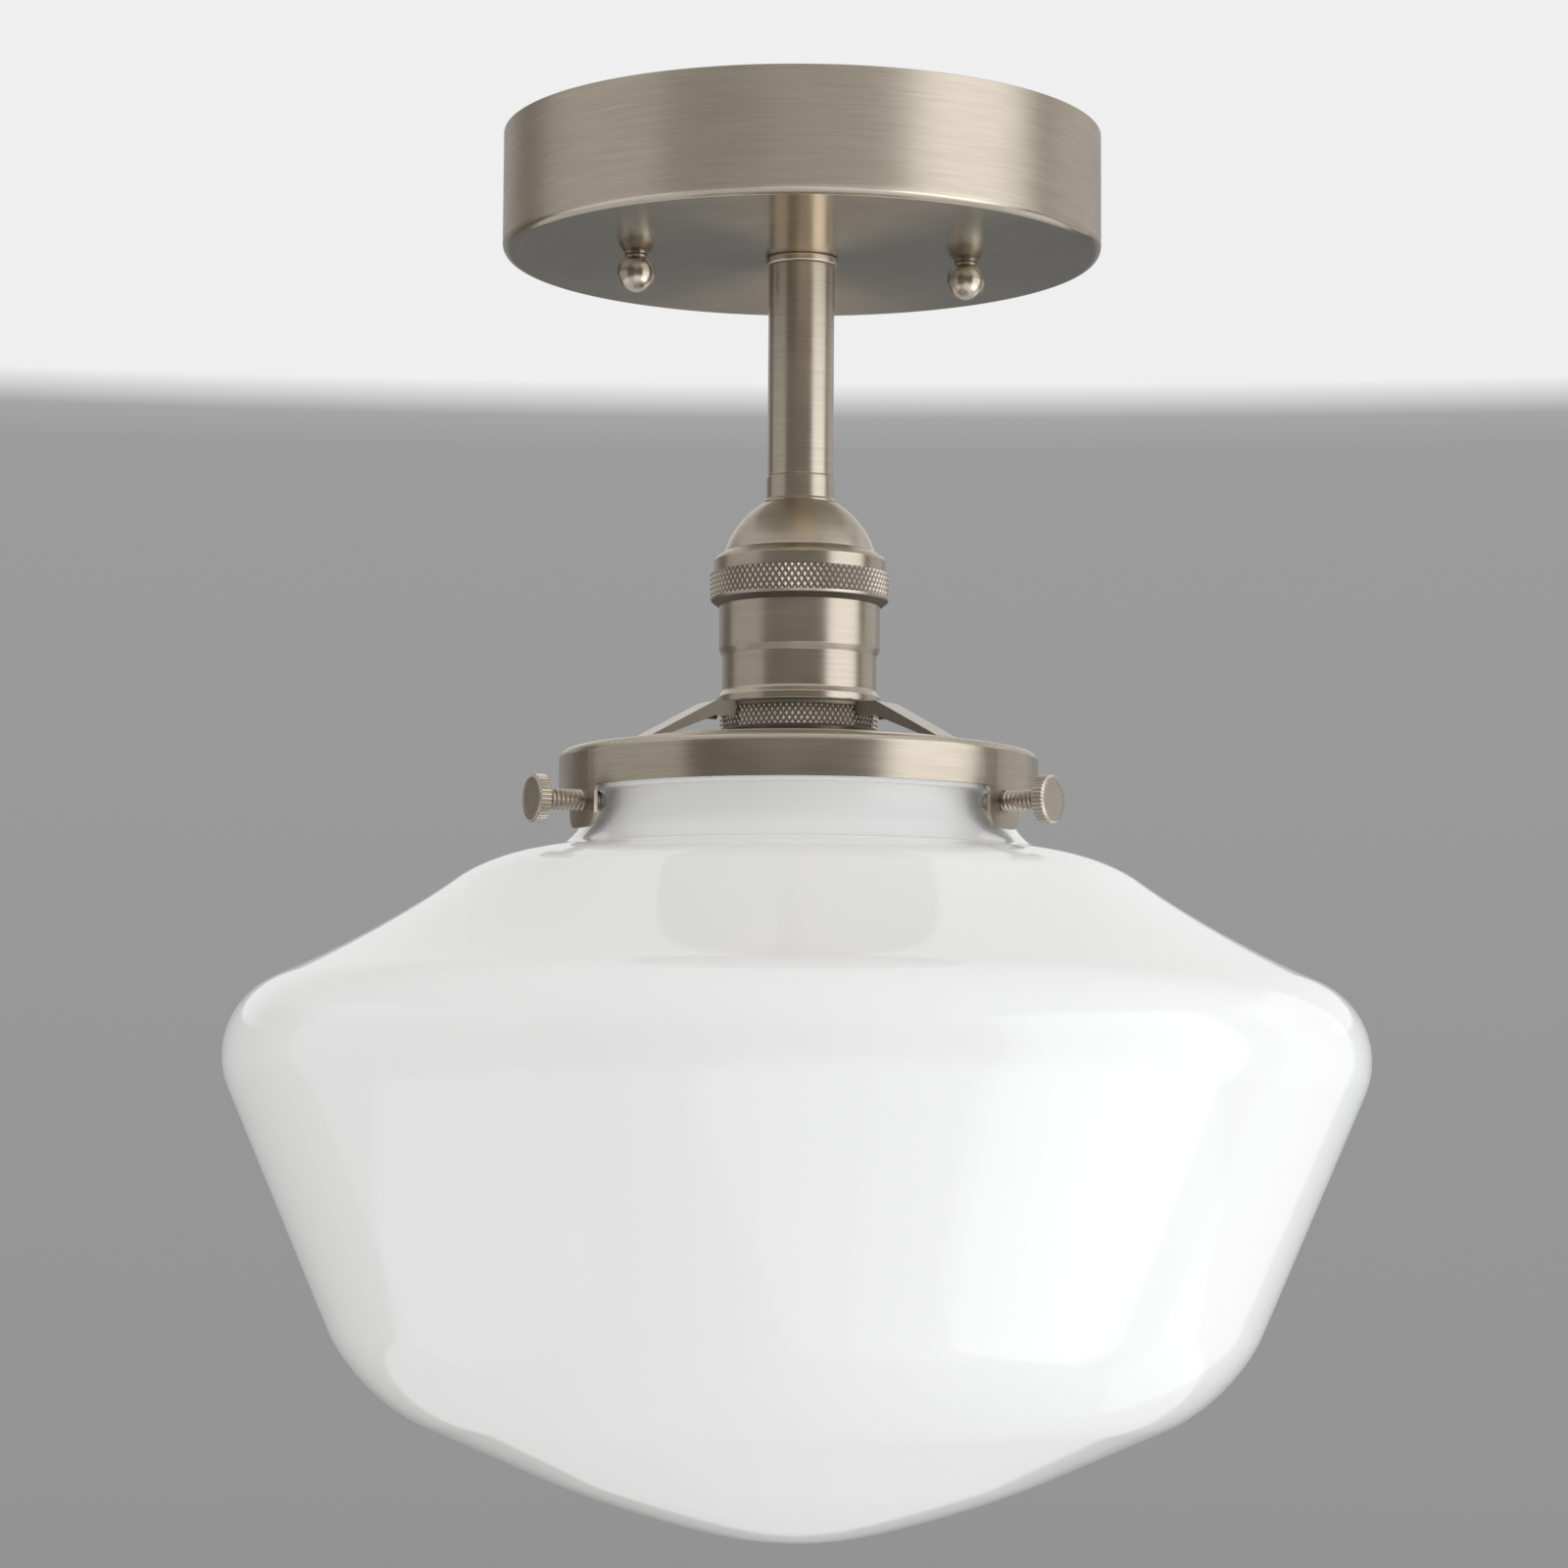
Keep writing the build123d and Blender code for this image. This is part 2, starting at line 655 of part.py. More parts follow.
# Brass plate from the rivet to the hot screw, nickel plate from the shell to the neutral screw
hot_length = terminal_reach + contact_radius
hot_plate = Pos((terminal_reach - contact_radius) / 2, 0) * Rectangle(hot_length, terminal_width)
hot_plate -= Circle(rivet_hole)
hot_plate -= terminal_places[1] * Circle(terminal_screw_radius + thread_gap)
pieces["hot_terminal"] = Pos(0, 0, body_top) * extrude(hot_plate, terminal_thickness)
neutral_inner = neutral_rivet_offset - contact_rivet_radius - terminal_thickness
neutral_plate = Pos(-(terminal_reach + neutral_inner) / 2, 0) * Rectangle(
    terminal_reach - neutral_inner, terminal_width
)
neutral_plate -= terminal_places[0] * Circle(terminal_screw_radius + thread_gap)
neutral_rivet = rivet_places[1] * rod(contact_rivet_radius, body_top, screw_shell_top - screw_shell_wall)
pieces["neutral_terminal"] = Pos(0, 0, body_top) * extrude(neutral_plate, terminal_thickness) + neutral_rivet

terminal_head = rod(terminal_head_radius, terminal_top + terminal_head_height, terminal_top)
terminal_head = chamfer(terminal_head.edges().sort_by(Axis.Z)[-1], terminal_head_height * 0.3)
terminal_slot = Pos(0, 0, terminal_top + terminal_head_height) * Box(
    terminal_head_radius * 3, terminal_head_height * 0.4, terminal_head_height
)
terminal_shank = rod(terminal_screw_radius, terminal_top, body_top - terminal_screw_depth)
terminal_screw = terminal_head - terminal_slot + terminal_shank
pieces["terminal_screws"] = Compound([place * terminal_screw for place in terminal_places])

# ---------------------------------------------------------------- leads and connectors

# Each lead: up from its terminal, through both nipples, over the nut and into a connector
lead_turn = canopy_nipple_top + lead_rise
connector_level = canopy_floor + connector_radius + seat_gap
lead_foot = terminal_screw_offset - terminal_head_radius - lead_radius - seat_gap
lead_gather = cap_inner_top - bushing_length - lead_radius
for name, side in (("neutral_lead", -1), ("hot_lead", 1)):
    pieces[name] = wire_along(
        lead_radius,
        2.2 * lead_radius,
        (side * lead_foot, 0, terminal_top),
        (side * lead_foot, 0, (terminal_top + lead_gather) / 2),
        (side * lead_side, 0, lead_gather),
        (side * lead_side, 0, lead_turn),
        (side * connector_side / 2, connector_mouth / 2, lead_turn),
        (side * connector_side, connector_mouth - 3 * lead_radius, connector_level),
        (side * connector_side, connector_mouth + lead_grip, connector_level),
    )

# Bare copper lead with a ring under the ground screw
ground_level = canopy_strap_bottom - ground_lead_radius
ground_ring = ground_place * tube(
    ground_ring_radius, ground_screw_radius + thread_gap, canopy_strap_bottom, ground_ring_bottom
)
ground_wire = wire_along(
    ground_lead_radius,
    4 * ground_lead_radius,
    (-ground_screw_offset, -ground_ring_radius + ground_lead_radius, ground_level),
    (-ground_screw_offset, -connector_mouth / 2, ground_level),
    (-connector_side, -connector_mouth + 6 * ground_lead_radius, connector_level),
    (-connector_side, -connector_mouth - lead_grip, connector_level),
)
pieces["ground_lead"] = ground_ring + ground_wire

# Twist-on connectors lying on the canopy floor
connector = turned_polygon(
    (0, connector_length),
    (connector_tip_radius, connector_length),
    (connector_radius, connector_length * 0.25),
    (connector_radius, 0),
    (connector_bore, 0),
    (connector_bore, connector_bore_depth),
    (0, connector_bore_depth),
)
connector_places = [
    Pos(side_x * connector_side, side_y * connector_mouth, connector_level) * Rot(-90 * side_y, 0, 0)
    for side_x, side_y in ((-1, 1), (1, 1), (-1, -1))
]
pieces["wire_connectors"] = Compound([place * connector for place in connector_places])

# ---------------------------------------------------------------- gallery

# Hub plate; rim with rounded corner and a skirt as deep as the tabs
hub_plate = tube(hub_radius, guide_bore, hub_top, hub_bottom)
corner_inset = gallery_radius - gallery_corner_radius
inner_corner = gallery_corner_radius - gallery_sheet
corner_level = rim_top - gallery_corner_radius
rim_and_skirt = turned(
    Line((rim_inner_radius, rim_top), (corner_inset, rim_top)),
    ThreePointArc(
        (corner_inset, rim_top),
        (corner_inset + gallery_corner_radius * diagonal, corner_level + gallery_corner_radius * diagonal),
        (gallery_radius, corner_level),
    ),
    Polyline(
        (gallery_radius, corner_level),
        (gallery_radius, tab_bottom),
        (skirt_bore_radius, tab_bottom),
        (skirt_bore_radius, corner_level),
    ),
    ThreePointArc(
        (skirt_bore_radius, corner_level),
        (corner_inset + inner_corner * diagonal, corner_level + inner_corner * diagonal),
        (corner_inset, rim_bottom),
    ),
    Polyline((corner_inset, rim_bottom), (rim_inner_radius, rim_bottom), (rim_inner_radius, rim_top)),
)

# One arm, pressed as a channel: a sloped strip with its two long edges turned down
arm_start = hub_radius - gallery_sheet
arm_top_line = [(arm_start, hub_top), (arm_bend_inner, hub_top), (arm_bend_outer, rim_top)]
arm_bottom_line = [(x, z - gallery_sheet) for x, z in reversed(arm_top_line)]
arm_strip_side = Plane.XZ * make_face(Polyline(*arm_top_line, *arm_bottom_line, close=True).edges())
arm_strip = extrude(arm_strip_side, arm_width / 2, both=True)
arm_web_outline = Polyline(
    (arm_start, hub_top),
    (arm_bend_inner, hub_top),
    (arm_bend_outer, rim_top),
    (arm_bend_outer, rim_bottom),
    (arm_bend_inner, hub_top - arm_flange_depth),
    (hub_radius, hub_top - arm_flange_depth),
    (arm_start, hub_bottom),
    close=True,
)
arm_web = extrude(Plane.XZ * make_face(arm_web_outline.edges()), gallery_sheet / 2, both=True)
web_offset = (arm_width - gallery_sheet) / 2
arm = arm_strip + Pos(0, web_offset, 0) * arm_web + Pos(0, -web_offset, 0) * arm_web

# The skirt is cut away below its edge, except for three tabs with rounded ends and filleted roots
band_height = skirt_height / 3
tab_height = tab_drop + band_height
tab_sketch = Pos(0, tab_bottom + tab_height / 2) * Rectangle(tab_width, tab_height)
tab_sketch += Pos(0, skirt_bottom + band_height / 2) * Rectangle(tab_width + 4 * tab_root_radius, band_height)
tab_sketch = fillet(tab_sketch.vertices().sort_by(Axis.Y)[2:6].sort_by(Axis.X)[1:3], tab_root_radius)
tab_sketch = fillet(tab_sketch.vertices().sort_by(Axis.Y)[:2], tab_corner_radius)
tab_plate = extrude(Plane.YZ * tab_sketch, 2 * gallery_radius)
tab_hole = Pos(0, 0, screw_level) * Rot(0, 90, 0) * rod(screw_radius + running_gap, 2 * gallery_radius, 0)
kept = rod(2 * gallery_radius, hub_top, skirt_bottom)
for angle in tab_angles:
    kept += Rot(0, 0, angle) * tab_plate
gallery = rim_and_skirt & kept
gallery += hub_plate
for angle in tab_angles:
    gallery += Rot(0, 0, angle) * arm
for angle in tab_angles:
    gallery -= Rot(0, 0, angle) * tab_hole
pieces["gallery"] = gallery - rod(guide_bore, hub_top, rim_bottom)

# ---------------------------------------------------------------- lower knurled ring

uno_ring = tube(uno_ring_radius, guide_bore, hub_bottom, hub_bottom - uno_ring_height)
pieces["uno_ring"] = chamfer(outer_rims(uno_ring), uno_ring_edge)

# ---------------------------------------------------------------- thumb screws

# Turned along +Z from the tip to the head, then laid along the direction of its tab
thumb_shank = chamfer(rod(screw_radius, screw_length, 0).edges().sort_by(Axis.Z)[0], screw_tip_chamfer)
thumb_head = rod(screw_head_radius, screw_length + screw_head_thickness, screw_length)
thumb_head = chamfer(thumb_head.edges().filter_by(GeomType.CIRCLE), screw_head_edge)
for name, angle in zip(("back", "left", "right"), tab_angles):
    place = Rot(0, 0, angle) * Pos(neck_radius + screw_tip_gap, 0, screw_level) * Rot(0, 90, 0)
    pieces["thumb_screw_" + name] = place * (thumb_shank + thumb_head)

# ---------------------------------------------------------------- glass

# Each bend has its radius, the slope that it turns to and the straight length that follows it
glass_bends = [
    (flare_radius, shoulder_slope, 0),
    (shoulder_radius, ramp_slope, 0),
    (ramp_radius, brow_slope, 0),
    (belly_radius, flank_slope, flank_length),
    (heel_radius, base_slope, base_length),
    (sweep_radius, crown_slope, 0),
]


def glass_side(inset):
    """Tangent arcs and lines from the neck to the axis, moved into the glass by the inset."""
    run = [Line((neck_radius - inset, lip_bottom), (neck_radius - inset, lip_bottom - neck_straight))]
    slope = 90
    for bend_radius, next_slope, straight in glass_bends:
        parallel_radius = bend_radius + inset if next_slope < slope else bend_radius - inset
        run.append(JernArc(run[-1] @ 1, run[-1] % 1, parallel_radius, slope - next_slope))
        if straight:
            run.append(PolarLine(run[-1] @ 1, straight, direction=run[-1] % 1))
        slope = next_slope
    crown_radius = (run[-1] @ 1).X / sin(radians(180 - slope))
    run.append(JernArc(run[-1] @ 1, run[-1] % 1, crown_radius, slope - 180))
    return run


outside = glass_side(0)
inside = glass_side(glass_wall)
glass_bottom = (outside[-1] @ 1).Y
pieces["shade_glass"] = turned(
    *outside,
    Line(outside[-1] @ 1, inside[-1] @ 1),
    *inside,
    Polyline((mouth_radius, lip_bottom), (mouth_radius, lip_top), (lip_radius - lip_edge, lip_top)),
    ThreePointArc(
        (lip_radius - lip_edge, lip_top),
        (lip_radius - lip_edge * (1 - diagonal), lip_top - lip_edge * (1 - diagonal)),
        (lip_radius, lip_top - lip_edge),
    ),
    Line((lip_radius, lip_top - lip_edge), (lip_radius, lip_bottom + lip_edge)),
    ThreePointArc(
        (lip_radius, lip_bottom + lip_edge),
        (lip_radius - lip_edge * (1 - diagonal), lip_bottom + lip_edge * (1 - diagonal)),
        (lip_radius - lip_edge, lip_bottom),
    ),
    Line((lip_radius - lip_edge, lip_bottom), (neck_radius, lip_bottom)),
)

# ---------------------------------------------------------------- lamp

lamp_cap_radius = screw_shell_bore - lamp_cap_gap
lamp_cap_top = lamp_top - lamp_contact_height - lamp_insulator_height
lamp_cap_bottom = lamp_cap_top - lamp_cap_length
pieces["bulb_contact"] = turned_polygon(
    (0, lamp_top),
    (lamp_contact_radius * 0.5, lamp_top),
    (lamp_contact_radius, lamp_top - lamp_contact_height),
    (0, lamp_top - lamp_contact_height),
)
pieces["bulb_insulator"] = turned_polygon(
    (0, lamp_top - lamp_contact_height),
    (lamp_contact_radius + lamp_contact_height, lamp_top - lamp_contact_height),
    (lamp_cap_radius - lamp_cap_wall, lamp_cap_top),
    (0, lamp_cap_top),
)
pieces["bulb_cap"] = turned_polygon(
    (0, lamp_cap_top),
    (lamp_cap_radius - lamp_cap_wall, lamp_cap_top),
    (lamp_cap_radius, lamp_cap_top - lamp_cap_wall),
    (lamp_cap_radius, lamp_cap_bottom),
    (lamp_cap_radius - lamp_cap_wall, lamp_cap_bottom),
    (lamp_cap_radius - lamp_cap_wall, lamp_cap_top - lamp_cap_wall),
    (0, lamp_cap_top - lamp_cap_wall),
)
housing_shoulder = lamp_cap_bottom - lamp_neck_length
housing_bottom = lamp_cap_bottom - lamp_housing_length
housing_rim = lamp_radius - lamp_dome_wall / 2
housing_bore = housing_rim - lamp_housing_wall
pieces["bulb_housing"] = turned(
    Polyline(
        (0, lamp_cap_bottom),
        (lamp_neck_radius, lamp_cap_bottom),
        (lamp_neck_radius, housing_shoulder),
    ),
    ThreePointArc(
        (lamp_neck_radius, housing_shoulder),
        ((lamp_neck_radius + housing_rim) / 2 - lamp_housing_wall, (housing_shoulder + housing_bottom) / 2),
        (housing_rim, housing_bottom),
    ),
    Line((housing_rim, housing_bottom), (housing_bore, housing_bottom)),
    ThreePointArc(
        (housing_bore, housing_bottom),
        ((lamp_neck_radius + housing_rim) / 2 - 2.4 * lamp_housing_wall, (housing_shoulder + housing_bottom) / 2),
        (lamp_neck_radius - lamp_housing_wall, housing_shoulder),
    ),
    Polyline(
        (lamp_neck_radius - lamp_housing_wall, housing_shoulder),
        (0, housing_shoulder),
        (0, lamp_cap_bottom),
    ),
)
pieces["led_board"] = Pos(0, 0, housing_bottom - led_board_thickness) * extrude(
    Circle(housing_bore + lamp_housing_wall / 2), led_board_thickness
)

# Opal dome: a ball that meets the housing on a small neck
dome_center = housing_bottom - led_board_thickness - lamp_dome_drop
dome_inner = lamp_radius - lamp_dome_wall
ball_outer = Pos(0, 0, dome_center) * Sphere(lamp_radius)
ball_inner = Pos(0, 0, dome_center) * Sphere(dome_inner)
dome_cut = rod(lamp_radius, housing_bottom - led_board_thickness, dome_center - 2 * lamp_radius)
pieces["bulb_diffuser"] = (ball_outer - ball_inner) & dome_cut

# ---------------------------------------------------------------- files

os.makedirs("parts", exist_ok=True)
for name, piece in pieces.items():
    export_step(piece, "parts/" + name + ".step")
print(len(pieces), "pieces, lowest point", round(glass_bottom, 2))
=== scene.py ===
from math import ceil, cos, pi, radians, sin, tan

import bmesh
import bpy
from mathutils import Matrix, Vector


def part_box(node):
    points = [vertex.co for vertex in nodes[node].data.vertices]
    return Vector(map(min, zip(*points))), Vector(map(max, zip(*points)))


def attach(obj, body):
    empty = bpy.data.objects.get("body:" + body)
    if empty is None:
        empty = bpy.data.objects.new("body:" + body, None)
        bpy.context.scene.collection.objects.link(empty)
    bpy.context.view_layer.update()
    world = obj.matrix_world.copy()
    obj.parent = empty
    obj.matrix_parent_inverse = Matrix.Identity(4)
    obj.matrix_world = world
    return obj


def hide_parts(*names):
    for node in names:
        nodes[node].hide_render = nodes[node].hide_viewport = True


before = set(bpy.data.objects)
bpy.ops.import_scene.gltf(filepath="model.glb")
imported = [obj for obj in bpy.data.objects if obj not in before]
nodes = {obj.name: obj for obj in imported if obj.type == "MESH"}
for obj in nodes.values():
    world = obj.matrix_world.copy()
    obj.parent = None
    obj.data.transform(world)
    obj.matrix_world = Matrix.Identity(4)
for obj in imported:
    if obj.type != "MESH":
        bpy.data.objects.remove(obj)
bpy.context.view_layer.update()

mm = 0.001


# ---------------------------------------------------------------- box strap and swivel rivet
# Stamped steel strap with two long slots for the outlet box screws, and the hollow rivet that the
# second strap swivels on. Both are bright zinc plated, with faint rolling streaks under the plating.

def grain_group():
    """Streaks of rolled or drawn sheet: long along X, short across, with slow clouds over them."""
    group = bpy.data.node_groups.new("rolled_grain", "ShaderNodeTree")
    socket = group.interface.new_socket
    socket("Streak length", in_out="INPUT", socket_type="NodeSocketFloat").default_value = 60.0
    socket("Streak width", in_out="INPUT", socket_type="NodeSocketFloat").default_value = 2600.0
    socket("Streaks", in_out="OUTPUT", socket_type="NodeSocketFloat")
    socket("Clouds", in_out="OUTPUT", socket_type="NodeSocketFloat")
    new = group.nodes.new
    link = group.links.new
    given = new("NodeGroupInput")
    out = new("NodeGroupOutput")
    place = new("ShaderNodeTexCoord")
    scale = new("ShaderNodeCombineXYZ")
    link(given.outputs["Streak length"], scale.inputs["X"])
    link(given.outputs["Streak width"], scale.inputs["Y"])
    link(given.outputs["Streak width"], scale.inputs["Z"])
    stretched = new("ShaderNodeVectorMath")
    stretched.operation = "MULTIPLY"
    link(place.outputs["Object"], stretched.inputs[0])
    link(scale.outputs["Vector"], stretched.inputs[1])
    streaks = new("ShaderNodeTexNoise")
    streaks.inputs["Scale"].default_value = 1.0
    streaks.inputs["Detail"].default_value = 3.0
    link(stretched.outputs["Vector"], streaks.inputs["Vector"])
    clouds = new("ShaderNodeTexNoise")
    clouds.inputs["Scale"].default_value = 130.0
    clouds.inputs["Detail"].default_value = 4.0
    link(place.outputs["Object"], clouds.inputs["Vector"])
    link(streaks.outputs["Fac"], out.inputs["Streaks"])
    link(clouds.outputs["Fac"], out.inputs["Clouds"])
    return group


rolled_grain = grain_group()


def finish_nodes(name):
    """A new material with its node tree, its shader and short ways to add and join nodes."""
    material = bpy.data.materials.new(name)
    material.use_nodes = True
    tree = material.node_tree
    return material, tree.nodes["Principled BSDF"], tree.nodes.new, tree.links.new


def between(new, link, factor, low, high):
    """A value from low to high as the factor goes from 0.3 to 0.7, where most of a noise lies."""
    spread = new("ShaderNodeMapRange")
    spread.inputs["From Min"].default_value = 0.3
    spread.inputs["From Max"].default_value = 0.7
    spread.inputs["To Min"].default_value = low
    spread.inputs["To Max"].default_value = high
    link(factor, spread.inputs["Value"])
    return spread.outputs["Result"]


def tinted(new, link, factor, low, high):
    """A colour between two, by the same factor."""
    ramp = new("ShaderNodeValToRGB")
    ramp.color_ramp.elements[0].position = 0.3
    ramp.color_ramp.elements[1].position = 0.7
    ramp.color_ramp.elements[0].color = (*low, 1)
    ramp.color_ramp.elements[1].color = (*high, 1)
    link(factor, ramp.inputs["Fac"])
    return ramp.outputs["Color"]


def raised(new, link, height, strength, depth):
    """A bump of the given depth in metres."""
    bump = new("ShaderNodeBump")
    bump.inputs["Strength"].default_value = strength
    bump.inputs["Distance"].default_value = depth
    link(height, bump.inputs["Height"])
    return bump.outputs["Normal"]


def plated(name, dark, light, dull, shiny, streak_width=2600.0, relief=0.15):
    """Plated or drawn metal with streaks along X and cloudy colour."""
    material, shader, new, link = finish_nodes(name)
    grain = new("ShaderNodeGroup")
    grain.node_tree = rolled_grain
    grain.inputs["Streak width"].default_value = streak_width
    shader.inputs["Metallic"].default_value = 1.0
    link(tinted(new, link, grain.outputs["Clouds"], dark, light), shader.inputs["Base Color"])
    link(between(new, link, grain.outputs["Streaks"], dull, shiny), shader.inputs["Roughness"])
    link(raised(new, link, grain.outputs["Streaks"], relief, 0.00003), shader.inputs["Normal"])
    return material


def dress(material, *names):
    """Gives CAD nodes their finish."""
    for name in names:
        for slot in nodes[name].material_slots:
            slot.material = material


zinc_plate = plated("zinc_plate", (0.52, 0.54, 0.56), (0.68, 0.69, 0.70), 0.42, 0.28)
dress(zinc_plate, "box_strap", "strap_eyelet")


# ---------------------------------------------------------------- canopy strap, studs and lock nuts
# The stepped strap carries two machine screws as studs, each locked by a hexagon nut from below.
# All zinc plated; the strap is stamped and bent, the screws and nuts are cold headed.

dress(zinc_plate, "canopy_strap", "canopy_studs", "stud_lock_nuts")


# ---------------------------------------------------------------- ground screw and ground lead
# A green lacquered hexagon screw holds the ring of a bare lead under the strap. The lead is drawn
# copper wire, bent by hand down to its connector.

def moulded(name, dark, light, dull, shiny, relief=0.1):
    """Plastic, lacquer or fibre with a fine skin and slightly uneven colour."""
    material, shader, new, link = finish_nodes(name)
    place = new("ShaderNodeTexCoord")
    skin = new("ShaderNodeTexNoise")
    skin.inputs["Scale"].default_value = 900.0
    skin.inputs["Detail"].default_value = 3.0
    link(place.outputs["Object"], skin.inputs["Vector"])
    patches = new("ShaderNodeTexNoise")
    patches.inputs["Scale"].default_value = 90.0
    link(place.outputs["Object"], patches.inputs["Vector"])
    link(tinted(new, link, patches.outputs["Fac"], dark, light), shader.inputs["Base Color"])
    link(between(new, link, patches.outputs["Fac"], dull, shiny), shader.inputs["Roughness"])
    link(raised(new, link, skin.outputs["Fac"], relief, 0.00005), shader.inputs["Normal"])
    return material


dress(moulded("green_lacquer", (0.03, 0.17, 0.05), (0.05, 0.25, 0.08), 0.4, 0.28), "ground_screw")
dress(plated("bare_copper", (0.60, 0.26, 0.13), (0.78, 0.38, 0.22), 0.4, 0.25), "ground_lead")


# ---------------------------------------------------------------- canopy
# Spun steel cup, brushed on the lathe and nickel plated, so that the brush lines run round the lamp
# axis on its side. Its floor is polished, has three drilled holes, and carries a painted highlight: a warmer,
# brighter wedge from front to back.

def brush_group():
    """Brush lines that run round the Z axis: fine across the radius and the height, long round it."""
    group = bpy.data.node_groups.new("lathe_brushing", "ShaderNodeTree")
    socket = group.interface.new_socket
    socket("Lines per metre", in_out="INPUT", socket_type="NodeSocketFloat").default_value = 2400.0
    socket("Breaks per metre", in_out="INPUT", socket_type="NodeSocketFloat").default_value = 70.0
    socket("Lines", in_out="OUTPUT", socket_type="NodeSocketFloat")
    socket("Clouds", in_out="OUTPUT", socket_type="NodeSocketFloat")
    new = group.nodes.new
    link = group.links.new
    given = new("NodeGroupInput")
    out = new("NodeGroupOutput")
    place = new("ShaderNodeTexCoord")
    split = new("ShaderNodeSeparateXYZ")
    link(place.outputs["Object"], split.inputs["Vector"])
    flat = new("ShaderNodeCombineXYZ")
    link(split.outputs["X"], flat.inputs["X"])
    link(split.outputs["Y"], flat.inputs["Y"])
    radius = new("ShaderNodeVectorMath")
    radius.operation = "LENGTH"
    link(flat.outputs["Vector"], radius.inputs[0])
    scale = new("ShaderNodeCombineXYZ")
    link(given.outputs["Breaks per metre"], scale.inputs["X"])
    link(given.outputs["Breaks per metre"], scale.inputs["Y"])
    link(given.outputs["Lines per metre"], scale.inputs["Z"])
    stretched = new("ShaderNodeVectorMath")
    stretched.operation = "MULTIPLY"
    link(place.outputs["Object"], stretched.inputs[0])
    link(scale.outputs["Vector"], stretched.inputs[1])
    across = new("ShaderNodeMath")
    across.operation = "MULTIPLY"
    link(radius.outputs["Value"], across.inputs[0])
    link(given.outputs["Lines per metre"], across.inputs[1])
    lines = new("ShaderNodeTexNoise")
    lines.noise_dimensions = "4D"
    lines.inputs["Scale"].default_value = 1.0
    lines.inputs["Detail"].default_value = 4.0
    lines.inputs["Roughness"].default_value = 0.6
    link(stretched.outputs["Vector"], lines.inputs["Vector"])
    link(across.outputs["Value"], lines.inputs["W"])
    clouds = new("ShaderNodeTexNoise")
    clouds.inputs["Scale"].default_value = 45.0
    clouds.inputs["Detail"].default_value = 3.0
    link(place.outputs["Object"], clouds.inputs["Vector"])
    link(lines.outputs["Fac"], out.inputs["Lines"])
    link(clouds.outputs["Fac"], out.inputs["Clouds"])
    return group


lathe_brushing = brush_group()


def brushed(name, dull=0.36, shiny=0.24, lines=2400.0, relief=0.12, stretch=0.55, tone=1.0):
    """Brushed nickel plate whose highlights spread across the brush lines."""
    material, shader, new, link = finish_nodes(name)
    brushing = new("ShaderNodeGroup")
    brushing.node_tree = lathe_brushing
    brushing.inputs["Lines per metre"].default_value = lines
    shader.inputs["Metallic"].default_value = 1.0
    shader.inputs["Anisotropic"].default_value = stretch
    shader.inputs["Anisotropic Rotation"].default_value = 0.25
    round_axis = new("ShaderNodeTangent")
    round_axis.direction_type = "RADIAL"
    round_axis.axis = "Z"
    link(round_axis.outputs["Tangent"], shader.inputs["Tangent"])
    dark = [c * tone for c in (0.47, 0.415, 0.345)]
    light = [c * tone for c in (0.56, 0.50, 0.425)]
    link(tinted(new, link, brushing.outputs["Lines"], dark, light), shader.inputs["Base Color"])
    link(between(new, link, brushing.outputs["Clouds"], dull, shiny), shader.inputs["Roughness"])
    link(raised(new, link, brushing.outputs["Lines"], relief, 0.00004), shader.inputs["Normal"])
    return material


def turned(corners, steps):
    """Mesh turned about the lamp axis from (radius, height, rounding) corners in millimetres."""
    section = bmesh.new()
    points = [section.verts.new((radius * mm, 0, height * mm)) for radius, height, _ in corners]
    for start, end in zip(points, points[1:]):
        section.edges.new((start, end))
    section.edges.new((points[-1], points[0]))
    finest_turn = radians(9)
    longest_step = 3.0
    for index, (radius, height, rounding) in enumerate(corners):
        if not rounding:
            continue
        here = Vector((radius, height))
        back = Vector(corners[index - 1][:2]) - here
        ahead = Vector(corners[(index + 1) % len(corners)][:2]) - here
        turn = pi - back.angle(ahead)
        bmesh.ops.bevel(
            section, geom=[points[index]], affect="VERTICES", offset=rounding * mm * tan(turn / 2),
            offset_type="OFFSET", profile=0.5, material=-1,
            segments=max(2, ceil(turn / finest_turn), ceil(turn * rounding / longest_step)),
        )
    bmesh.ops.spin(
        section, geom=section.verts[:] + section.edges[:], cent=(0, 0, 0), axis=(0, 0, 1),
        dvec=(0, 0, 0), angle=2 * pi, steps=steps, use_merge=True, use_duplicate=False,
    )
    bmesh.ops.remove_doubles(section, verts=section.verts, dist=0.002 * mm)
    bmesh.ops.recalc_face_normals(section, faces=section.faces)
    return section


def finished(name, shape, material, crease=32):
    """Object from a mesh, smooth but for its creases, with normals that keep its flats flat."""
    mesh = bpy.data.meshes.new(name)
    shape.to_mesh(mesh)
    shape.free()
    mesh.materials.append(material)
    mesh.shade_smooth()
    mesh.set_sharp_from_angle(angle=radians(crease))
    piece = bpy.data.objects.new(name, mesh)
    bpy.context.scene.collection.objects.link(piece)
    weighted = piece.modifiers.new("flat_faces", "WEIGHTED_NORMAL")
    weighted.keep_sharp = True
    return piece


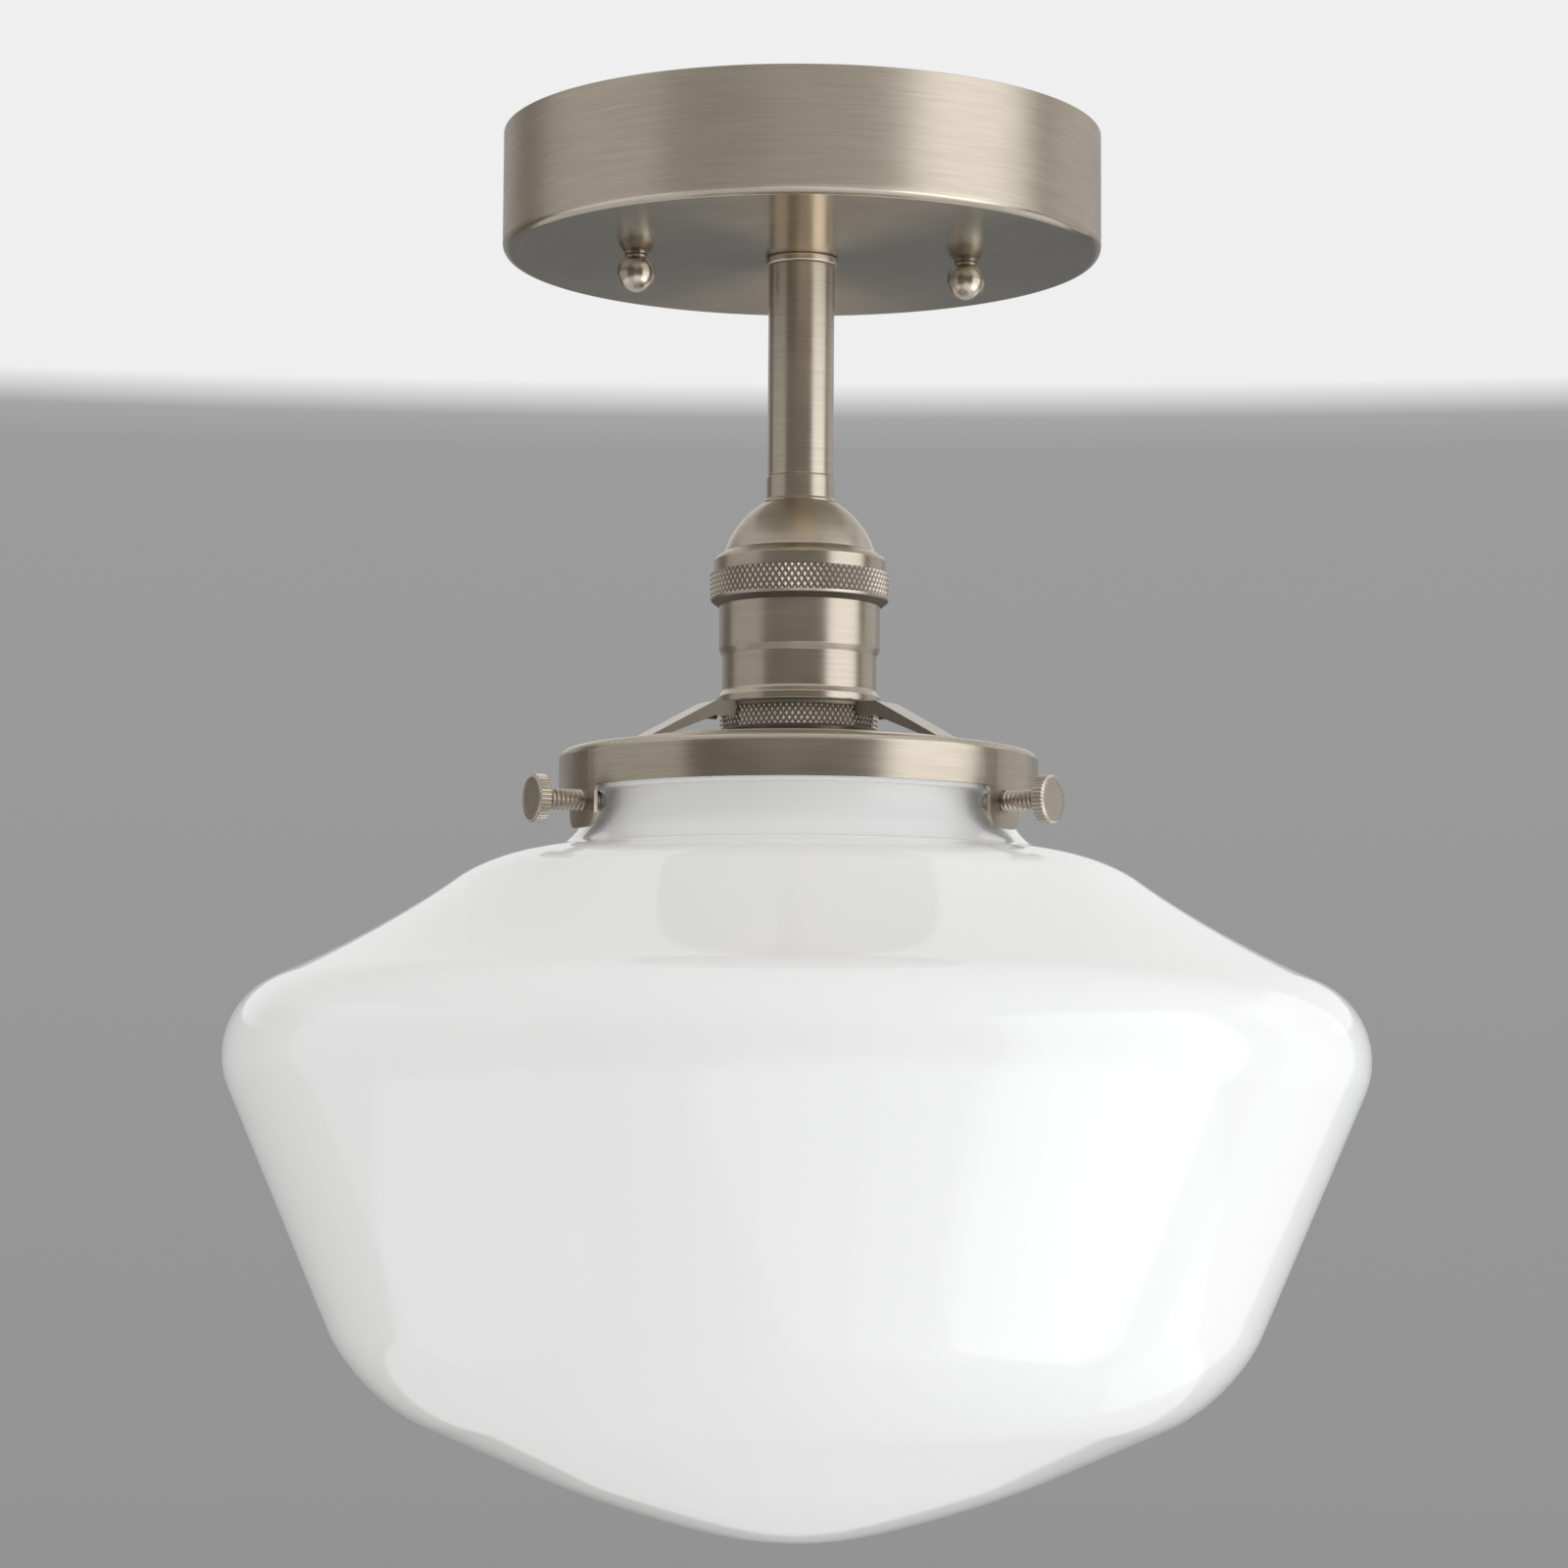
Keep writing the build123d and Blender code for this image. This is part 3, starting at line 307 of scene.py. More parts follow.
canopy_low, canopy_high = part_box("canopy")
canopy_radius = canopy_high.x / mm
canopy_bottom = canopy_low.z / mm
canopy_wall = 0.9
canopy_edge_radius = 2.3
canopy_rim_rounding = 0.25
canopy_floor = canopy_bottom + canopy_wall
canopy_shape = turned([
    (canopy_radius, 0, canopy_rim_rounding),
    (canopy_radius, canopy_bottom, canopy_edge_radius),
    (0, canopy_bottom, 0),
    (0, canopy_floor, 0),
    (canopy_radius - canopy_wall, canopy_floor, canopy_edge_radius - canopy_wall),
    (canopy_radius - canopy_wall, 0, canopy_rim_rounding),
], steps=160)
on_the_side, on_the_edge, on_the_floor = range(3)
for face in canopy_shape.faces:
    if face.normal.z < -0.97:
        face.material_index = on_the_floor
    elif face.normal.z < -0.45:
        face.material_index = on_the_edge
    else:
        face.material_index = on_the_side
canopy_side_nickel = brushed(
    "brushed_canopy", dull=0.50, shiny=0.42, lines=1800.0, relief=0.22, stretch=0.85, tone=1.12,
)
canopy = finished("spun_canopy", canopy_shape, canopy_side_nickel)
polish = {"dull": 0.23, "shiny": 0.16, "lines": 1500.0, "relief": 0.04, "stretch": 0.72}


def floor_with_painted_highlight():
    """Polished nickel with a painted highlight: a warmer, brighter wedge from front to back, set by the
    bearing round the stem.
    """
    material = brushed("canopy_floor_painted_highlight", tone=1.42, **polish)
    new = material.node_tree.nodes.new
    link = material.node_tree.links.new
    shader = material.node_tree.nodes["Principled BSDF"]
    place = new("ShaderNodeTexCoord")
    flat = new("ShaderNodeVectorMath")
    flat.operation = "MULTIPLY"
    flat.inputs[1].default_value = (1.0, 1.0, 0.0)
    link(place.outputs["Object"], flat.inputs[0])
    outward = new("ShaderNodeVectorMath")
    outward.operation = "NORMALIZE"
    link(flat.outputs["Vector"], outward.inputs[0])
    split = new("ShaderNodeSeparateXYZ")
    link(outward.outputs["Vector"], split.inputs["Vector"])
    aside = new("ShaderNodeMath")
    aside.operation = "ABSOLUTE"
    link(split.outputs["X"], aside.inputs[0])
    # Painted highlight: the colour is lightened and warmed near the front-to-back line, where a bow-tie
    # reflection would lie.
    painted_wedge_highlight = new("ShaderNodeValToRGB")
    painted_wedge_highlight.color_ramp.interpolation = "EASE"
    painted_wedge_highlight.color_ramp.elements[0].position = 0.10
    painted_wedge_highlight.color_ramp.elements[0].color = (1.0, 0.93, 0.83, 1)
    painted_wedge_highlight.color_ramp.elements[1].position = 0.80
    painted_wedge_highlight.color_ramp.elements[1].color = (0.55, 0.575, 0.58, 1)
    link(aside.outputs["Value"], painted_wedge_highlight.inputs["Fac"])
    mix = new("ShaderNodeMix")
    mix.data_type = "RGBA"
    mix.blend_type = "MULTIPLY"
    mix.inputs["Factor"].default_value = 1.0
    link(shader.inputs["Base Color"].links[0].from_socket, mix.inputs[6])
    link(painted_wedge_highlight.outputs["Color"], mix.inputs[7])
    link(mix.outputs[2], shader.inputs["Base Color"])
    return material


canopy.data.materials.append(brushed("polished_canopy_edge", tone=0.97, **polish))
# The floor's material carries the painted highlight wedge.
canopy.data.materials.append(floor_with_painted_highlight())
stud_offset = 37.5
stud_hole_radius = 2.4
nipple_hole_radius = 5.1
drill_length = 4.0
drill = bmesh.new()
for hole_x, hole_radius in (
    (-stud_offset, stud_hole_radius), (0, nipple_hole_radius), (stud_offset, stud_hole_radius),
):
    bmesh.ops.create_cone(
        drill, cap_ends=True, segments=48, radius1=hole_radius * mm, radius2=hole_radius * mm,
        depth=drill_length * mm, matrix=Matrix.Translation((hole_x * mm, 0, canopy_floor * mm)),
    )
drill_mesh = bpy.data.meshes.new("drill")
drill.to_mesh(drill_mesh)
drill.free()
drill_object = bpy.data.objects.new("drill", drill_mesh)
bpy.context.scene.collection.objects.link(drill_object)
holes = canopy.modifiers.new("holes", "BOOLEAN")
holes.operation = "DIFFERENCE"
holes.solver = "EXACT"
holes.object = drill_object
canopy.modifiers.move(1, 0)
bpy.context.view_layer.update()
drilled_mesh = bpy.data.meshes.new_from_object(canopy.evaluated_get(bpy.context.evaluated_depsgraph_get()))
canopy.modifiers.clear()
canopy.data = drilled_mesh
bpy.data.objects.remove(drill_object)
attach(canopy, "fixture")
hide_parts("canopy")


# ---------------------------------------------------------------- nipple, nut and lock washer in the canopy
# Threaded steel pipe nipple, a hexagon nut and an external tooth washer clamp the stem to the
# canopy. All are zinc plated.

dress(zinc_plate, "canopy_nipple", "nipple_nut", "lock_washer")


# ---------------------------------------------------------------- ball nuts
# Two turned ball nuts with a short neck and a blunt point, screwed on the studs against the canopy.
# Brushed nickel plate, a little smoother than the canopy.

ball_nickel = brushed("brushed_ball", dull=0.30, shiny=0.20, lines=3200.0, relief=0.06, stretch=0.3)
ball_radius = 4.35
ball_neck_radius = 2.6
ball_thread_bore = 2.16
ball_thread_depth = 5.9
tip_latitude = -68
neck_latitude = 53
latitude_step = 5
for side in ("left", "right"):
    node = "ball_nut_" + side
    low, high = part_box(node)
    top = high.z / mm
    bottom = low.z / mm
    center = bottom + ball_radius / sin(radians(-tip_latitude))
    latitudes = [*range(neck_latitude, tip_latitude - 1, -latitude_step), tip_latitude]
    ball_outline = [(ball_thread_bore, top, 0), (ball_neck_radius, top, 0.12)]
    for angle in map(radians, latitudes):
        ball_outline.append((ball_radius * cos(angle), center + ball_radius * sin(angle), 0))
    hole_end = top - ball_thread_depth
    ball_outline += [(0, bottom, 0), (0, hole_end, 0), (ball_thread_bore, hole_end, 0)]
    ball_shape = turned(ball_outline, steps=64)
    bmesh.ops.translate(ball_shape, verts=ball_shape.verts, vec=((low.x + high.x) / 2, 0, 0))
    ball = finished(node + "_turned", ball_shape, ball_nickel)
    ball.modifiers.clear()
    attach(ball, node)
    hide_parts(node)


# ---------------------------------------------------------------- check ring, stem and collar
# Turned ring against the canopy, drawn steel tube, and a turned coupling with a small foot.
# All brushed on the lathe and nickel plated; dark lines show where they meet.

def heights(node):
    """Top and bottom of a CAD node in millimetres."""
    lowest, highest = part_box(node)
    return highest.z / mm, lowest.z / mm


nipple_hole = 4.86
ring_radius = 8.25
ring_rounding = 0.5
ring_top, ring_bottom = heights("check_ring")
check_ring = finished("turned_check_ring", turned([
    (nipple_hole, ring_top, 0), (ring_radius, ring_top, ring_rounding),
    (ring_radius, ring_bottom, ring_rounding), (nipple_hole, ring_bottom, 0),
], steps=96), brushed("brushed_ring", lines=3000.0))
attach(check_ring, "fixture")
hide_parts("check_ring")

stem_top, stem_bottom = heights("stem_tube")
stem_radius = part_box("stem_tube")[1].x / mm
stem_rounding = 0.3
stem_bore = 5.8
tapped_depth = 12.0
stem = finished("drawn_stem", turned([
    (nipple_hole, stem_top, 0), (stem_radius, stem_top, stem_rounding),
    (stem_radius, stem_bottom, stem_rounding), (nipple_hole, stem_bottom, 0),
    (nipple_hole, stem_bottom + tapped_depth, 0), (stem_bore, stem_bottom + tapped_depth, 0),
    (stem_bore, stem_top - tapped_depth, 0), (nipple_hole, stem_top - tapped_depth, 0),
], steps=96), brushed("brushed_stem", lines=2400.0, relief=0.10))
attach(stem, "fixture")
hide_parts("stem_tube")

collar_top, collar_bottom = heights("stem_collar")
collar_radius = 7.75
collar_foot_radius = 8.25
collar = finished("turned_collar", turned([
    (nipple_hole, collar_top, 0), (collar_radius, collar_top, 0.3),
    (collar_radius, collar_bottom + 0.85, 0.25), (collar_foot_radius, collar_bottom + 0.5, 0.2),
    (collar_foot_radius, collar_bottom, 0.15), (nipple_hole, collar_bottom, 0),
], steps=96), brushed("brushed_collar", lines=3000.0))
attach(collar, "fixture")
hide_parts("stem_collar")


# ---------------------------------------------------------------- socket cap, bushing and nipple
# Spun brass cap: spherical dome, sloped shoulder and a straight flange over a threaded skirt.
# Brushed nickel outside; the bushing and the nipple inside are zinc plated steel.

cap_top, skirt_bottom = heights("socket_cap")
cap_wall = 0.8
dome_height = 11.1
flange_radius = 19.35
skirt_radius = 18.9
skirt_length = 4.0
flange_bottom = skirt_bottom + skirt_length
inner_top = cap_top - cap_wall
inner_skirt_radius = skirt_radius - cap_wall
cap = finished("spun_socket_cap", turned([
    (nipple_hole, cap_top, 0), (8.4, cap_top, 0), (14.9, cap_top - 3.75, 17.0),
    (16.95, cap_top - dome_height, 0.15), (18.85, flange_bottom + 3.75, 0.4),
    (flange_radius, flange_bottom + 3.0, 0.35), (flange_radius, flange_bottom, 0.25),
    (skirt_radius, flange_bottom, 0), (skirt_radius, skirt_bottom, 0.1),
    (inner_skirt_radius, skirt_bottom, 0.1), (inner_skirt_radius, flange_bottom + 2.6, 0.3),
    (16.1, flange_bottom + 4.2, 0.3),
    (14.2, cap_top - 4.5, 15.0), (8.2, inner_top, 0), (nipple_hole, inner_top, 0),
], steps=160), brushed("brushed_cap", lines=2600.0))
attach(cap, "fixture")
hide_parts("socket_cap")
dress(zinc_plate, "cap_bushing", "socket_nipple")


# ---------------------------------------------------------------- upper knurled ring
# Turned ring that screws on the cap's skirt and hooks under the shell. Its band has a rolled
# diamond knurl over a rounded nose that ends in a narrow plain lip. Nickel over the knurl.

def knurled(shape, radius, depth, back, top, bottom, teeth, rows):
    """Adds a closed sleeve of raised diamonds to a turned shape; every size but counts in mm."""
    step = pi / teeth
    row_height = (top - bottom) / rows
    strip = bmesh.new()
    columns = []
    for column in range(3):
        turn = Matrix.Rotation(column * step, 3, "Z")
        points = [strip.verts.new(turn @ Vector((back * mm, 0, bottom * mm)))]
        for row in range(rows + 1):
            outward = radius if (row + column) % 2 == 0 else radius - depth
            crossing = Vector((outward * mm, 0, (bottom + row * row_height) * mm))
            points.append(strip.verts.new(turn @ crossing))
        points.append(strip.verts.new(turn @ Vector((back * mm, 0, top * mm))))
        columns.append(points)
    for column in range(2):
        left = columns[column]
        right = columns[column + 1]
        for level in range(len(left)):
            following = (level + 1) % len(left)
            corners = (left[level], right[level], right[following], left[following])
            if 0 < level < len(left) - 2:
                if (level - 1 + column) % 2 == 0:
                    strip.faces.new((corners[0], corners[1], corners[3]))
                    strip.faces.new((corners[1], corners[2], corners[3]))
                else:
                    strip.faces.new((corners[0], corners[1], corners[2]))
                    strip.faces.new((corners[0], corners[2], corners[3]))
            else:
                strip.faces.new(corners)
    bmesh.ops.spin(
        strip, geom=strip.verts[:] + strip.edges[:] + strip.faces[:], cent=(0, 0, 0), axis=(0, 0, 1),
        dvec=(0, 0, 0), angle=2 * pi, steps=teeth, use_duplicate=True,
    )
    bmesh.ops.remove_doubles(strip, verts=strip.verts, dist=0.002 * mm)
    bmesh.ops.recalc_face_normals(strip, faces=strip.faces)
    sleeve = bpy.data.meshes.new("sleeve")
    strip.to_mesh(sleeve)
    strip.free()
    shape.from_mesh(sleeve)
    bpy.data.meshes.remove(sleeve)


def knurled_nickel(name, crest, depth):
    """Nickel on a knurl: painted shade darkens the grooves and a painted highlight lightens the crests, which
    are also smoother.
    """
    material, shader, new, link = finish_nodes(name)
    place = new("ShaderNodeTexCoord")
    split = new("ShaderNodeSeparateXYZ")
    link(place.outputs["Object"], split.inputs["Vector"])
    flat = new("ShaderNodeCombineXYZ")
    link(split.outputs["X"], flat.inputs["X"])
    link(split.outputs["Y"], flat.inputs["Y"])
    radius = new("ShaderNodeVectorMath")
    radius.operation = "LENGTH"
    link(flat.outputs["Vector"], radius.inputs[0])
    rise = new("ShaderNodeMapRange")
    rise.inputs["From Min"].default_value = (crest - depth) * mm
    rise.inputs["From Max"].default_value = (crest - 0.15 * depth) * mm
    link(radius.outputs["Value"], rise.inputs["Value"])
    # Painted shade in the grooves and a painted highlight on the crests, set by the radius.
    groove_shade_crest_highlight = new("ShaderNodeValToRGB")
    groove_shade_crest_highlight.color_ramp.elements[0].color = (0.15, 0.125, 0.10, 1)
    groove_shade_crest_highlight.color_ramp.elements[1].color = (0.66, 0.60, 0.52, 1)
    link(rise.outputs["Result"], groove_shade_crest_highlight.inputs["Fac"])
    link(groove_shade_crest_highlight.outputs["Color"], shader.inputs["Base Color"])
    worn = new("ShaderNodeMapRange")
    worn.inputs["To Min"].default_value = 0.42
    worn.inputs["To Max"].default_value = 0.24
    link(rise.outputs["Result"], worn.inputs["Value"])
    link(worn.outputs["Result"], shader.inputs["Roughness"])
    shader.inputs["Metallic"].default_value = 1.0
    return material


upper_top, upper_bottom = heights("socket_ring")
upper_thread = 18.95
upper_hook = 18.15
upper_band = 19.8
upper_knurl = 20.2
upper_knurl_depth = 0.42
upper_shape = turned([
    (upper_thread, upper_top, 0), (upper_band, upper_top, 0), (upper_band, upper_top - 5.4, 0),
    (20.1, upper_top - 5.55, 0.1), (19.9, upper_top - 6.2, 0.5), (18.4, upper_bottom, 1.0),
    (upper_hook, upper_bottom, 0), (upper_hook, upper_top - 4.8, 0), (upper_thread, upper_top - 4.8, 0),
], steps=176)
knurled(
    upper_shape, upper_knurl, upper_knurl_depth, back=upper_band - 0.4,
    top=upper_top - 0.05, bottom=upper_top - 5.6, teeth=88, rows=5,
)
upper_nickel = knurled_nickel("knurled_nickel_upper", upper_knurl, upper_knurl_depth)
socket_ring = finished("knurled_socket_ring", upper_shape, upper_nickel, crease=12)
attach(socket_ring, "fixture")
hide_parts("socket_ring")


# ---------------------------------------------------------------- socket shell and liner
# Drawn shell with a wide upper part, a small step and a rolled bead at its lower edge, brushed
# nickel outside. The liner inside it is vulcanised fibre.

shell_top, shell_bottom = heights("socket_shell")
shell_wall = 0.7
shell_flange = 0.8
shell_upper = 18.1
shell_lower = 17.33
bead_radius = 18.35
step_top = shell_bottom + 12.7
step_bottom = shell_bottom + 11.2
shell = finished("drawn_socket_shell", turned([
    (shell_upper + shell_flange, shell_top, 0), (shell_upper + shell_flange, shell_top - shell_flange, 0),
    (shell_upper, shell_top - shell_flange, 0.3), (shell_upper, step_top, 0.5),
    (shell_lower, step_bottom, 0.5), (shell_lower, shell_bottom + 3.1, 1.2),
    (bead_radius, shell_bottom + 1.9, 0.5),
    (bead_radius, shell_bottom, 0.6), (shell_lower - shell_wall, shell_bottom, 0.2),
    (shell_lower - shell_wall, step_bottom, 0), (shell_upper - shell_wall, step_top, 0),
    (shell_upper - shell_wall, shell_top, 0),
], steps=160), brushed("brushed_shell", lines=2400.0))
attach(shell, "fixture")
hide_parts("socket_shell")
fibre = moulded("vulcanised_fibre", (0.16, 0.09, 0.05), (0.24, 0.15, 0.09), 0.8, 0.65, relief=0.4)
dress(fibre, "socket_liner")


# ---------------------------------------------------------------- lampholder: body, contacts, terminals
# Moulded phenolic body with a threaded barrel; brass screw shell and centre contact; brass hot
# terminal, plated neutral terminal and their screws.

dress(moulded("phenolic", (0.012, 0.010, 0.009), (0.022, 0.019, 0.017), 0.34, 0.22), "socket_body")
drawn_brass = plated("drawn_brass", (0.62, 0.44, 0.18), (0.76, 0.57, 0.27), 0.34, 0.20)
dress(drawn_brass, "lamp_screw_shell", "centre_contact", "hot_terminal", "terminal_screws")
dress(zinc_plate, "neutral_terminal")


# ---------------------------------------------------------------- leads and wire connectors
# Black and white insulated leads run from the terminals up the stem into twist-on connectors on
# the canopy floor; the third connector takes the ground lead.

dress(moulded("black_insulation", (0.012, 0.012, 0.012), (0.02, 0.02, 0.02), 0.45, 0.35), "hot_lead")
dress(moulded("white_insulation", (0.72, 0.72, 0.69), (0.80, 0.80, 0.77), 0.45, 0.35), "neutral_lead")
dress(moulded("orange_moulding", (0.68, 0.19, 0.02), (0.80, 0.25, 0.03), 0.42, 0.3), "wire_connectors")


# ---------------------------------------------------------------- gallery
# Pressed steel shade holder: hub plate, three channel arms, and a drawn rim whose skirt carries
# three tabs for the thumb screws. Brushed on the lathe and nickel plated; the upright channel faces inside
# the rim are painted darker as shade.

gallery_nickel = brushed("brushed_gallery", lines=2000.0)
# Darker, duller nickel for the upright channel faces inside the rim: painted shade under the arms.
channel_painted_shade_nickel = brushed(
    "pressed_channel_painted_shade", dull=0.55, shiny=0.45, lines=2000.0, relief=0.05, stretch=0.0, tone=0.42,
)
rim_inner_radius = 41.7
sheet = 0.8
curl_height = 1.5
curl_overlap = 0.1


def softened(name, node, material, edge, crease=30):
    """A copy of a CAD node with its loose triangles joined and its sharp edges broken."""
    shape = bmesh.new()
    shape.from_mesh(nodes[node].data)
    bmesh.ops.remove_doubles(shape, verts=shape.verts, dist=0.001 * mm)
    bmesh.ops.dissolve_limit(shape, angle_limit=radians(0.5), verts=shape.verts, edges=shape.edges)
    piece = finished(name, shape, material, crease)
    broken = piece.modifiers.new("broken_edges", "BEVEL")
    broken.width = edge * mm
    broken.segments = 2
    broken.limit_method = "ANGLE"
    broken.angle_limit = radians(crease)
    broken.harden_normals = False
    piece.modifiers.move(1, 0)
    return piece


gallery = softened("pressed_gallery", "gallery", gallery_nickel, edge=0.15)
gallery.data.materials.append(channel_painted_shade_nickel)
# The upright faces inside the rim take the painted-shade nickel.
for face in gallery.data.polygons:
    inside_rim = Vector(face.center[:2]).length < (rim_inner_radius + 0.2) * mm
    if inside_rim and abs(face.normal.z) < 0.5:
        face.material_index = 1
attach(gallery, "holder")
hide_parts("gallery")


# The inner edge of the rim is turned up into a narrow stiffening curl.
hub_rise = 10.5
rim_top = heights("gallery")[0] - hub_rise
curl_bottom = rim_top - curl_overlap
curl_top = rim_top + curl_height
curl = finished("rim_curl", turned([
    (rim_inner_radius, curl_bottom, 0), (rim_inner_radius, curl_top, 0.35),
    (rim_inner_radius + sheet, curl_top, 0.35), (rim_inner_radius + sheet, curl_bottom, 0),
], steps=144), gallery_nickel)
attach(curl, "holder")


# ---------------------------------------------------------------- lower knurled ring
# Turned ring with a diamond knurl that screws up the phenolic barrel and clamps the gallery's hub.
# A plain lip under the knurl hides the end of the barrel.

lower_top, lower_bottom = heights("uno_ring")
lower_thread = 15.98
lower_band = 17.4
lower_lip_radius = 17.0
lower_lip_bottom = lower_bottom - 1.9
lower_knurl = 17.8
lower_knurl_depth = 0.4
lower_shape = turned([
    (lower_thread, lower_top, 0), (lower_band - 0.1, lower_top, 0), (lower_band, lower_top - 0.3, 0),
    (lower_band, lower_bottom + 0.1, 0.2), (lower_lip_radius, lower_bottom - 0.2, 0.2),
    (lower_lip_radius, lower_lip_bottom, 0.5), (lower_thread, lower_lip_bottom, 0.2),
], steps=166)
knurled(
    lower_shape, lower_knurl, lower_knurl_depth, back=lower_band - 0.3,
    top=lower_top - 0.15, bottom=lower_bottom + 0.15, teeth=83, rows=4,
)
lower_nickel = knurled_nickel("knurled_nickel_lower", lower_knurl, lower_knurl_depth)
uno_ring = finished("knurled_uno_ring", lower_shape, lower_nickel, crease=12)
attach(uno_ring, "holder")
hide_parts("uno_ring")


# ---------------------------------------------------------------- thumb screws
# Three turned screws with a 1.06 mm thread and a straight knurled head, through the gallery tabs.
# Nickel plated and left bright by the knurling wheel.

screw_nickel = plated("bright_nickel", (0.52, 0.465, 0.40), (0.60, 0.54, 0.47), 0.32, 0.26, relief=0.03)
screw_level = -153.3
screw_tip = 48.3
shank_end = 62.5
head_end = 65.5
thread_pitch = 1.06
thread_radius = 2.4
core_radius = 1.95
head_radius = 5.4
head_teeth = 38
tooth_depth = 0.4
tooth_inset = 0.35
tooth_chamfer = 0.2


def chained(shape, places):
    """Corners at these places, in millimetres, joined one after another by edges."""
    corners = [shape.verts.new(Vector(place) * mm) for place in places]
    for first, second in zip(corners, corners[1:]):
        shape.edges.new((first, second))
    return corners


def thread_ridge():
    """The rolled thread of one screw, wound along +Z round the core."""
    ridge = bmesh.new()
    start = screw_tip + 0.9
    root_radius = core_radius - 0.1
    chained(ridge, [
        (root_radius, 0, start - 0.48), (thread_radius, 0, start - 0.07),
        (thread_radius, 0, start + 0.07), (root_radius, 0, start + 0.48),
    ])
    turns = (shank_end - start - 0.4) / thread_pitch
    steps_per_turn = 32
    bmesh.ops.spin(
        ridge, geom=ridge.verts[:] + ridge.edges[:], cent=(0, 0, 0), axis=(0, 0, 1),
        dvec=(0, 0, thread_pitch * mm / steps_per_turn), angle=2 * pi * turns,
        steps=int(turns * steps_per_turn), use_duplicate=False,
    )
    return ridge


def head_knurl():
    """The straight knurl round the head: one tooth with chamfered ends, repeated round the axis."""
    tooth = bmesh.new()
    pitch = 2 * pi / head_teeth
    groove_radius = head_radius - tooth_depth
    section = ((-0.5, groove_radius), (-0.18, head_radius), (0.18, head_radius), (0.5, groove_radius))
    lower = chained(tooth, [
        (radius * cos(share * pitch), radius * sin(share * pitch), shank_end + tooth_inset)
        for share, radius in section
    ])
    walls = bmesh.ops.extrude_edge_only(tooth, edges=tooth.edges[:])
    upper = [v for v in walls["geom"] if isinstance(v, bmesh.types.BMVert)]
    tooth_length = head_end - shank_end - 2 * tooth_inset
    bmesh.ops.translate(tooth, verts=upper, vec=(0, 0, tooth_length * mm))
    for level, outward in ((upper, tooth_chamfer), (lower, -tooth_chamfer)):
        edges = {edge for v in level for edge in v.link_edges if all(end in level for end in edge.verts)}
        chamfer = bmesh.ops.extrude_edge_only(tooth, edges=list(edges))
        points = [v for v in chamfer["geom"] if isinstance(v, bmesh.types.BMVert)]
        bmesh.ops.scale(tooth, verts=points, vec=(0.9, 0.9, 1))
        bmesh.ops.translate(tooth, verts=points, vec=(0, 0, outward * mm))
    bmesh.ops.spin(
        tooth, geom=tooth.verts[:] + tooth.edges[:] + tooth.faces[:], cent=(0, 0, 0), axis=(0, 0, 1),
        dvec=(0, 0, 0), angle=2 * pi, steps=head_teeth, use_duplicate=True,
    )
    bmesh.ops.remove_doubles(tooth, verts=tooth.verts, dist=0.002 * mm)
    return tooth


def thumb_screw_shape():
    """One thumb screw along +Z, its tip at the height screw_tip."""
    head_core = head_radius - tooth_inset
    shape = turned([
        (0, screw_tip, 0), (1.6, screw_tip, 0.2),
        (core_radius, screw_tip + 0.5, 0), (core_radius, shank_end, 0),
        (head_core - 0.4, shank_end, 0.15), (head_core, shank_end + 0.4, 0),
        (head_core, head_end - 0.4, 0), (head_core - 0.45, head_end, 0.3),
        (head_core - 1.25, head_end - 0.12, 0.2), (0, head_end - 0.12, 0),
    ], steps=76)
    for addition in (thread_ridge(), head_knurl()):
        bmesh.ops.recalc_face_normals(addition, faces=addition.faces)
        carried = bpy.data.meshes.new("carried")
        addition.to_mesh(carried)
        addition.free()
        shape.from_mesh(carried)
        bpy.data.meshes.remove(carried)
    return shape


laid_down = Matrix.Translation((0, 0, screw_level * mm)) @ Matrix.Rotation(pi / 2, 4, "Y")
for side, bearing in (("back", 82.5), ("left", 202.5), ("right", 322.5)):
    screw_shape = thumb_screw_shape()
    placed = Matrix.Rotation(radians(bearing), 4, "Z") @ laid_down
    bmesh.ops.transform(screw_shape, matrix=placed, verts=screw_shape.verts)
    screw = finished("thumb_screw_" + side + "_turned", screw_shape, screw_nickel, crease=25)
    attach(screw, "screw_" + side)
    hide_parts("thumb_screw_" + side)


# ---------------------------------------------------------------- glass
# Mouth blown opal glass with a solid lip, a straight fitter neck, a wide brow, straight flanks and
# a shallow pointed crown. White all through, glossy, with a slightly uneven skin.

def opal_glass(name, painted_glow=0.0):
    """White opal glass; the painted glow is emission that stands in for the light coming through the wall to
    its inside.
    """
    material, shader, new, link = finish_nodes(name)
    place = new("ShaderNodeTexCoord")
    waves = new("ShaderNodeTexNoise")
    waves.inputs["Scale"].default_value = 22.0
    waves.inputs["Detail"].default_value = 1.0
    link(place.outputs["Object"], waves.inputs["Vector"])
    seeds = new("ShaderNodeTexNoise")
    seeds.inputs["Scale"].default_value = 9.0
    link(place.outputs["Object"], seeds.inputs["Vector"])
    milk = tinted(new, link, seeds.outputs["Fac"], (0.89, 0.893, 0.89), (0.905, 0.905, 0.90))
    link(milk, shader.inputs["Base Color"])
    link(between(new, link, seeds.outputs["Fac"], 0.10, 0.06), shader.inputs["Roughness"])
    link(raised(new, link, waves.outputs["Fac"], 0.06, 0.0008), shader.inputs["Normal"])
    shader.inputs["IOR"].default_value = 1.5
    # Emission here is painted light, not a lamp.
    shader.inputs["Emission Color"].default_value = (1, 1, 1, 1)
    shader.inputs["Emission Strength"].default_value = painted_glow
    return material


